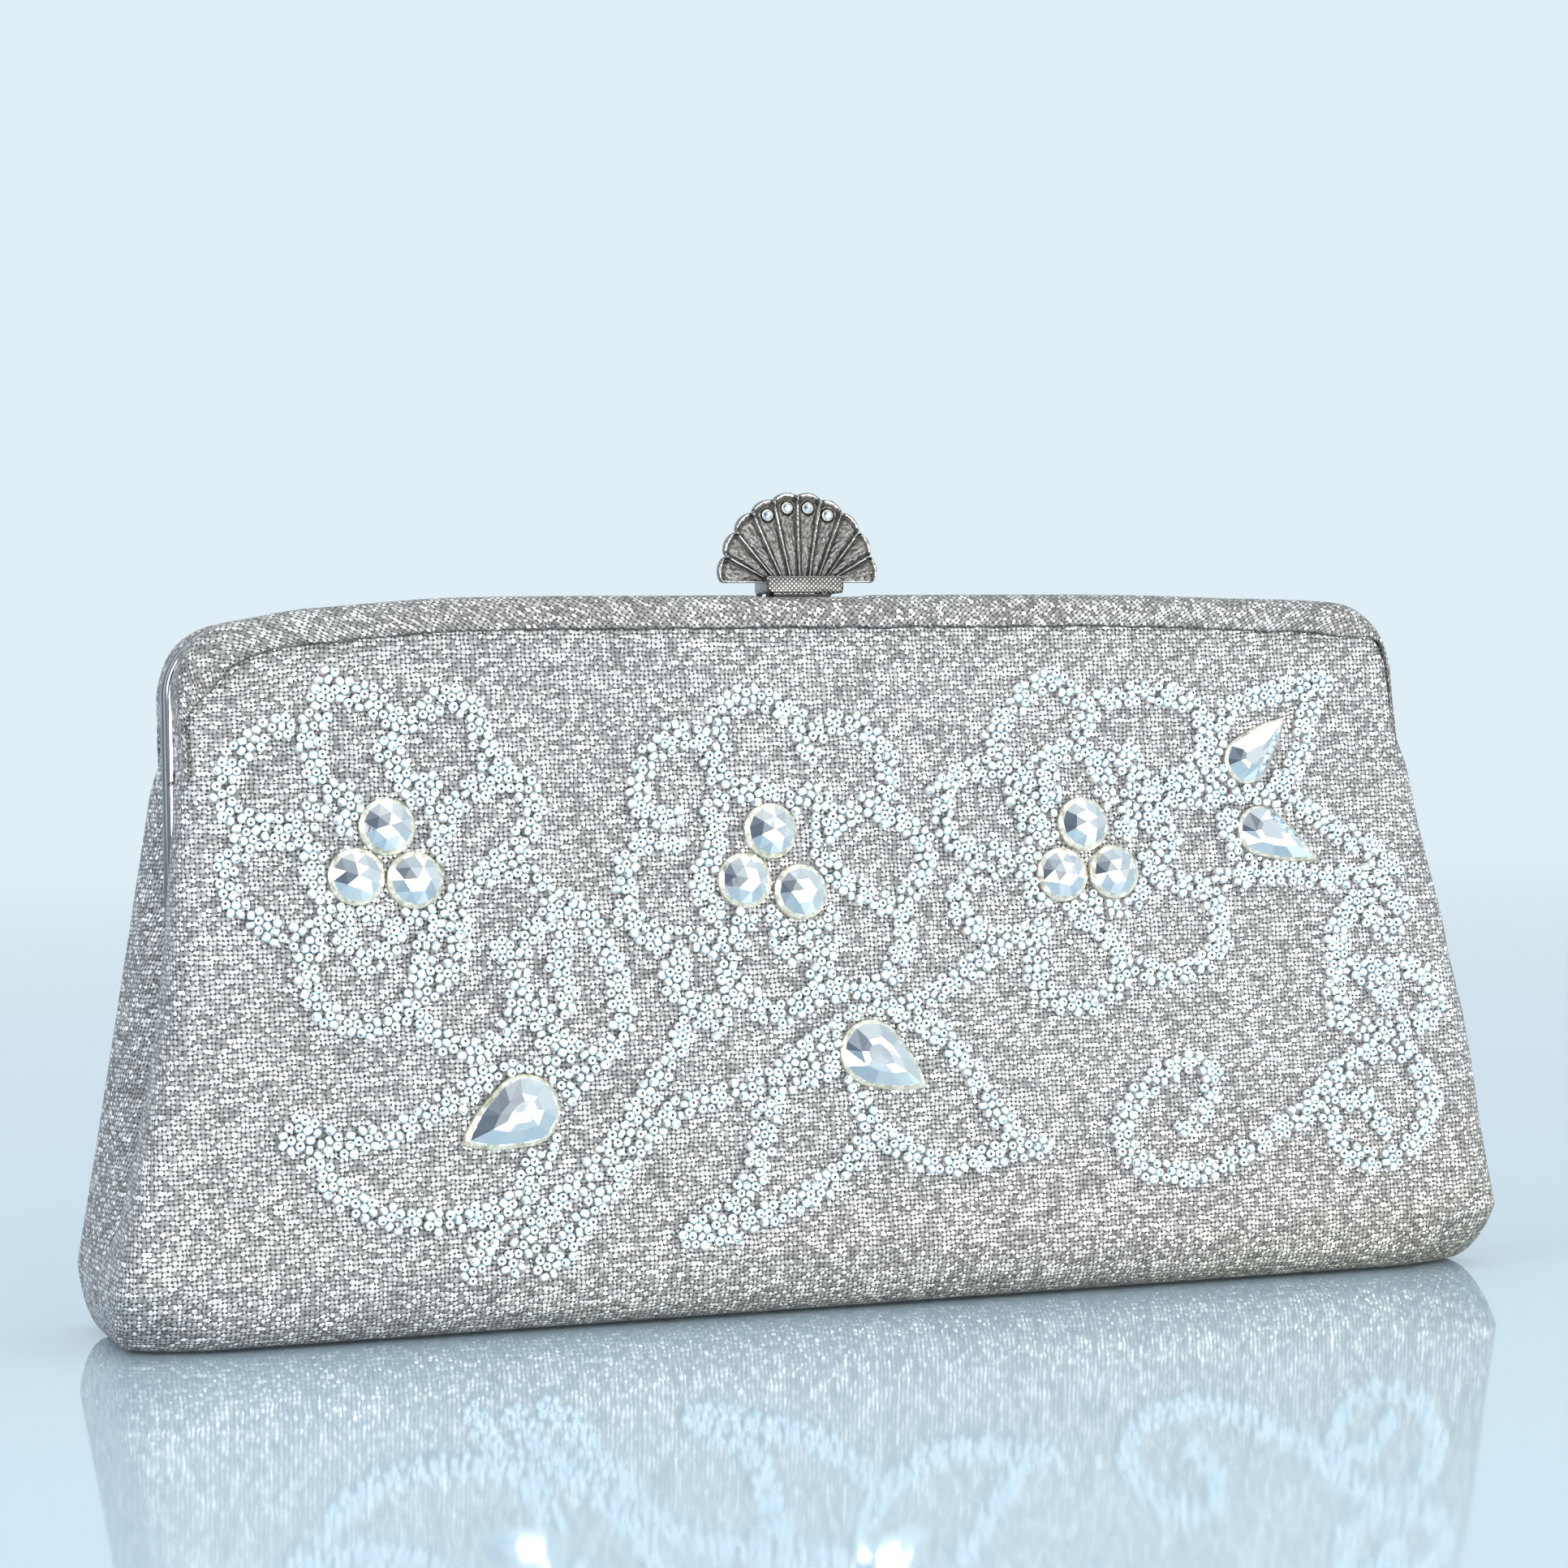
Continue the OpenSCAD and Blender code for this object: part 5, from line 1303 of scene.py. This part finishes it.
def lay_beads():
    """Packs beads along every trail, each new one touching those already laid."""
    rng = random.Random(11)
    strokes = [(w, [(x, up_face(z)) for x, z in line]) for w, line in TRAILS]
    laid, cells = [], {}

    def free(p):
        i, j = int(p[0] // BEAD_GAP), int(p[1] // BEAD_GAP)
        for di in (-1, 0, 1):
            for dj in (-1, 0, 1):
                for q in cells.get((i + di, j + dj), ()):
                    if math.hypot(p[0] - q[0], p[1] - q[1]) < BEAD_GAP * 0.965:
                        return False
        return not in_stone(p, STONE_MARGIN)

    def lay(p):
        laid.append(p)
        cells.setdefault((int(p[0] // BEAD_GAP), int(p[1] // BEAD_GAP)), []).append(p)

    for width, line in strokes:
        reach = max(0.9, width / 2 + 0.05)
        queue = []
        for a, b in zip(line, line[1:]):
            count = max(1, int(math.dist(a, b) / 1.3))
            for k in range(count):
                t = (k + 0.5) / count
                p = (a[0] + (b[0] - a[0]) * t, a[1] + (b[1] - a[1]) * t)
                queue.append((p, True))
        while queue:
            p, seed = queue.pop(0) if not queue[-1][1] else queue.pop()
            if seed:
                p = (p[0] + rng.uniform(-0.5, 0.5), p[1] + rng.uniform(-0.5, 0.5))
                if not free(p):
                    continue
                lay(p)
            turn = rng.uniform(0, 2 * math.pi)
            for k in range(24):
                a = turn + math.pi * k / 12
                far = BEAD_GAP * rng.uniform(1.0, 1.05)
                q = (p[0] + far * math.cos(a), p[1] + far * math.sin(a))
                if not free(q):
                    continue
                if min(near_segment(q, c, d) for c, d in zip(line, line[1:])) > reach:
                    continue
                lay(q)
                queue.insert(0, (q, False))
    return laid


def bead_pattern(segments=9):
    """One bead at the origin with its hole along Z."""
    hole, r, h = 0.23, BEAD_R, BEAD_HALF
    profile = [(hole, -h * 0.62), (hole + 0.11, -h * 0.95), (r * 0.72, -h), (r * 0.96, -h * 0.5),
               (r * 0.96, h * 0.5), (r * 0.72, h), (hole + 0.11, h * 0.95), (hole, h * 0.62)]
    verts = [(a * math.cos(t), a * math.sin(t), b)
             for t in (2 * math.pi * k / segments for k in range(segments)) for a, b in profile]
    n = len(profile)
    faces = []
    for i in range(segments):
        here, after = i * n, (i + 1) % segments * n
        faces += [(here + j, after + j, after + (j + 1) % n, here + (j + 1) % n) for j in range(n)]
    return np.array(verts), np.array(faces)


def random_axis(rng, out, right, up):
    """Which way a bead's hole points: mostly outwards, often askew, sometimes along the cloth."""
    pick = rng.random()
    lean = rng.uniform(0, 24) if pick < 0.5 else rng.uniform(24, 60) if pick < 0.7 else rng.uniform(72, 90)
    around = rng.uniform(0, 2 * math.pi)
    lean = math.radians(lean)
    axis = out * math.cos(lean) + (right * math.cos(around) + up * math.sin(around)) * math.sin(lean)
    return axis.normalized(), lean


def make_beads(glass, glue):
    """Every seed bead, in three pieces, and the glue that holds them."""
    rng = random.Random(23)
    verts0, faces0 = bead_pattern()
    groups = {"seed_beads_left": [], "seed_beads_middle": [], "seed_beads_right": []}
    drops, drop_faces = [], []
    for u, v in lay_beads():
        centre, out, right, up = on_face(u, from_up(v))
        axis, lean = random_axis(rng, out, right, up)
        size = rng.uniform(0.93, 1.05)
        rise = (abs(math.cos(lean)) * BEAD_HALF + abs(math.sin(lean)) * BEAD_R) * size
        rise += rng.uniform(0.02, 0.16)
        a = axis.orthogonal().normalized()
        spin = rng.uniform(0, math.pi)
        a = (a * math.cos(spin) + axis.cross(a) * math.sin(spin)).normalized()
        b = axis.cross(a)
        turn = np.array([a, b, axis]) * size
        turn[2] *= rng.uniform(0.85, 1.1)
        verts = verts0 @ turn + np.array(centre + out * rise)
        place = "left" if u < LEFT_END else "middle" if u < MIDDLE_END else "right"
        groups[f"seed_beads_{place}"].append((verts, 0.3 + 0.7 * rng.random()))
        start = len(drops)
        spread = rng.uniform(0.95, 1.2)
        for k in range(8):
            t = math.pi * k / 4
            drops.append(centre + right * (spread * math.cos(t)) + up * (spread * math.sin(t)) - out * 0.12)
        drops.append(centre + out * rng.uniform(0.2, 0.32))
        drop_faces += [(start + k, start + (k + 1) % 8, start + 8) for k in range(8)]
        drop_faces.append(tuple(range(start, start + 8))[::-1])
    made = []
    for name, beads in groups.items():
        n = len(verts0)
        verts = np.concatenate([v for v, _ in beads])
        faces = np.concatenate([faces0 + i * n for i in range(len(beads))])
        # The hole's wall is painted dark, as painted shade inside the hole: shade 0 on the first and last
        # points of the profile.
        wall = np.tile([0, 1, 1, 1, 1, 1, 1, 0], n // 8)
        shades = np.outer([s for _, s in beads], wall).ravel()
        made.append(build(name, verts.tolist(), faces.tolist(), glass, shades=shades.tolist()))
    made.append(build("bead_glue", drops, drop_faces, glue))
    return made


# ------------------------------------------------------------------ small soft pieces


def gusset(name, side, material):
    """The strip of cloth inside the drawn-in side, below the hinge."""
    rows, verts, uv = 0, [], []
    z = 8.0
    while z < HINGE_Z + 3:
        x = half_w(z) - valley(z, side) - CLOTH_T - 0.25
        for k in range(9):
            s = k / 4 - 1
            verts.append((side * (x - 1.6 * abs(s)), s * 6.5, z))
            uv.append((s * 6.5, z))
        rows += 1
        z += 2.5
    return thicken(build(name, verts, grid_faces(rows, 9, flip=side > 0), material, uv), 0.4)


def web(name, side, front, material):
    """Half of the gusset above the hinge: folded inwards between the frame's arms."""
    verts, uv, rows, columns = [], [], 24, 11
    for i in range(rows):
        z = HINGE_Z + 3 + 44 * i / (rows - 1)
        deep = 3.0 + 0.42 * (z - HINGE_Z)
        for k in range(columns):
            t = k / (columns - 1)
            x = FRAME_W - RAIL - 0.3 - deep * (1 - t)
            y = 0.12 + 2.5 * t ** 1.5 + 0.25 * math.sin(3 * math.pi * t) * (t > 0)
            verts.append((side * x, front * y, z))
            uv.append((math.hypot(deep, 2.6) * t, z))
    return thicken(build(name, verts, grid_faces(rows, columns, flip=side * front > 0), material, uv), 0.4)


def base_strip(material):
    """The flat strip that the bag stands on."""
    verts, uv = [], []
    nx, ny = 60, 9
    for i in range(nx + 1):
        x = (2 * i / nx - 1) * (FOOT_W - 0.3)
        for j in range(ny + 1):
            t = 2 * j / ny - 1
            y = t * (FOOT_D - 0.2)
            over = max(0.0, abs(x) - (FOOT_W - 5.3)) / 5.0
            y *= (1 - 0.12 * over ** 2) * pinch(x, 0.0)
            verts.append((x, y, 0.02))
            uv.append((x, y))
    return thicken(build("base_cloth", verts, grid_faces(nx + 1, ny + 1), material, uv), 0.9)


def thread_end(material):
    """A loose black thread caught at the front rail."""
    rng = random.Random(5)
    parts = []
    for k in range(7):
        p = Vector((-FRAME_W + 1.9, -3.7 - 0.1 * k, 99.3))
        path = []
        heading = Vector((-0.2, rng.uniform(-1, 0.2), rng.uniform(-0.6, 1.1))).normalized()
        for _ in range(7):
            path.append(p.copy())
            heading = (heading + Vector((rng.uniform(-0.5, 0.35), rng.uniform(-0.8, 0.8),
                                         rng.uniform(-0.8, 0.8)))).normalized()
            p += heading * 0.42
            p.x = min(p.x, -FRAME_W + 2.3)
            p.y = min(p.y, -3.5)
        parts.append(tube(f"strand_{k}", path, 0.15, material, 6))
    return joined("thread_end", parts)


# ------------------------------------------------------------------ assembly

bpy.context.scene.view_settings.view_transform = "Standard"
make_camera()
make_world()
area_light("window", (0.75, -1.10, 0.85), (0, 0, 0.06), (0.9, 0.7), 6.2, (1.0, 0.985, 0.96))
area_light("fill", (-1.2, -0.40, 0.55), (0, 0, 0.05), (0.8, 0.8), 11, (0.92, 0.96, 1.0))
area_light("above", (0.0, 0.15, 1.1), (0, 0, 0), (1.1, 0.9), 5, (0.97, 0.985, 1.0))
area_light("low", (0.10, -0.85, 0.06), (0, 0, 0.03), (1.4, 0.12), 11.5, (1.0, 0.99, 0.97))

cloth = lame("lame", 0.0, (0.90, 0.89, 0.93), 1.0)
# The band's copy of the lame is painted darker, at 0.8, as painted shade on the band's roll.
bias_cloth = lame("lame_bias", math.radians(45), (0.88, 0.84, 0.74), 0.8)
steel = metal_material("polished_steel", (0.27, 0.27, 0.29), 0.16, 0.12, (0.11, 0.11, 0.13))
silver, hatched = old_silver(), hatched_silver()
white_glass, glue = bead_material(), glue_material()
crystal, crystal_rim = crystal_material(), crystal_rim_material()
satin, board, thread = satin_material(), card_material(), thread_material()

# Outer cloth, front and back, and the strip between them.
front_cloth = shell("front_cloth", 0.0, CLOTH_TOP, front_edge_y, cloth, CLOTH_T)
back_cloth = turn_to_back(shell("back_cloth", 0.0, CLOTH_TOP, back_edge_y, cloth, CLOTH_T, even=True))
base_cloth = base_strip(cloth)
front_lining = shell("front_lining_satin", LINING_IN, LINING_TOP, back_edge_y, satin, LINING_T, LINING_FOLD)
back_lining = turn_to_back(shell("back_lining_satin", LINING_IN, LINING_TOP, back_edge_y, satin, LINING_T,
                                 LINING_FOLD, even=True))
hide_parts("front_panel", "front_panel_fold", "front_panel_lower")
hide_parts("back_panel", "back_panel_fold", "back_panel_lower")
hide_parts("base")
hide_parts("front_lining", "lining_pouch")
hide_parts("back_lining")
for piece, body, slot_name in (
        (front_cloth, "front_frame", "fabric"), (back_cloth, "back_frame", "fabric"),
        (front_lining, "front_frame", "lining"), (back_lining, "back_frame", "lining")):
    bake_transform(piece)
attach(base_cloth, "root")

# Gussets.
for side, word in ((-1, "left"), (1, "right")):
    low = gusset(f"{word}_gusset_cloth", side, cloth)
    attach(low, "root")
    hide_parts(f"{word}_gusset")
    for front, body in ((-1, "front_frame"), (1, "back_frame")):
        half = web(f"{word}_web_{body}", side, front, cloth)
        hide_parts(f"{word}_gusset_fold")
        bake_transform(half)

# The frame and the bands round it.
front_rail = recalculated(half_rail("front_rail", steel, FRAME_W - RAIL, 5.0))
back_rail = recalculated(turn_to_back(half_rail("back_rail", steel, FRAME_W - RAIL / 2 + 0.1, 2.5)))
front_band = band("front_band", bias_cloth, 3)
back_band = turn_to_back(band("back_band", bias_cloth, 8))
for piece in (front_cloth, back_cloth, front_lining, back_lining,
              front_rail, back_rail, front_band, back_band):
    hung(piece)
for piece, body, node, slot_name in (
        (front_rail, "front_frame", "front_frame", "frame_metal"),
        (back_rail, "back_frame", "back_frame", "frame_metal"),
        (front_band, "front_frame", "front_cover", "fabric"),
        (back_band, "back_frame", "back_cover", "fabric")):
    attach(piece, body)
    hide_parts(node)

# The clasp.
scallop_shell = scallop(silver)
neck = clasp_neck(silver, hatched)
clasp = joined("clasp_lever", [scallop_shell, neck])
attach(clasp, "clasp")
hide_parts("clasp_shell")

# Stones and beads.
for piece, body, node in zip(make_stones([crystal, crystal_rim]),
                             ("front_frame", "front_frame", "root", "clasp"),
                             ("round_stones", "pear_stones_upper", "pear_stones_lower", "clasp_stones")):
    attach(piece, body)
    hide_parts(node)
bead_nodes = {
    "seed_beads_left": ("beads_upper_left", "beads_lower_left"),
    "seed_beads_middle": ("beads_upper_middle", "beads_lower_middle", "beads_fold"),
    "seed_beads_right": ("beads_upper_right", "beads_lower_right")}
for piece in make_beads(white_glass, glue):
    if piece.name in bead_nodes:
        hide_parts(*bead_nodes[piece.name])
    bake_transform(piece)

strand = thread_end(thread)
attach(strand, "front_frame")

# CAD pieces that show as they are.
for names, material in (
        (("base_board", "front_board", "back_board"), board),
        (("hinge_rivets", "catch_rivets", "bracket_rivets", "clasp_pin", "clasp_spring"), steel),
        (("catch_plate", "clasp_bracket"), silver)):
    for name in names:
        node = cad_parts[name]
        for place in node.material_slots:
            place.material = material

# The table top.
TABLE_HALF, TABLE_NEAR, TABLE_FAR, TABLE_Z = 20000, -3000, 40000, -0.2
top = build("table_top", [(-TABLE_HALF, TABLE_NEAR, TABLE_Z), (TABLE_HALF, TABLE_NEAR, TABLE_Z),
                          (TABLE_HALF, TABLE_FAR, TABLE_Z), (-TABLE_HALF, TABLE_FAR, TABLE_Z)],
            [(0, 1, 2, 3)], floor_material())
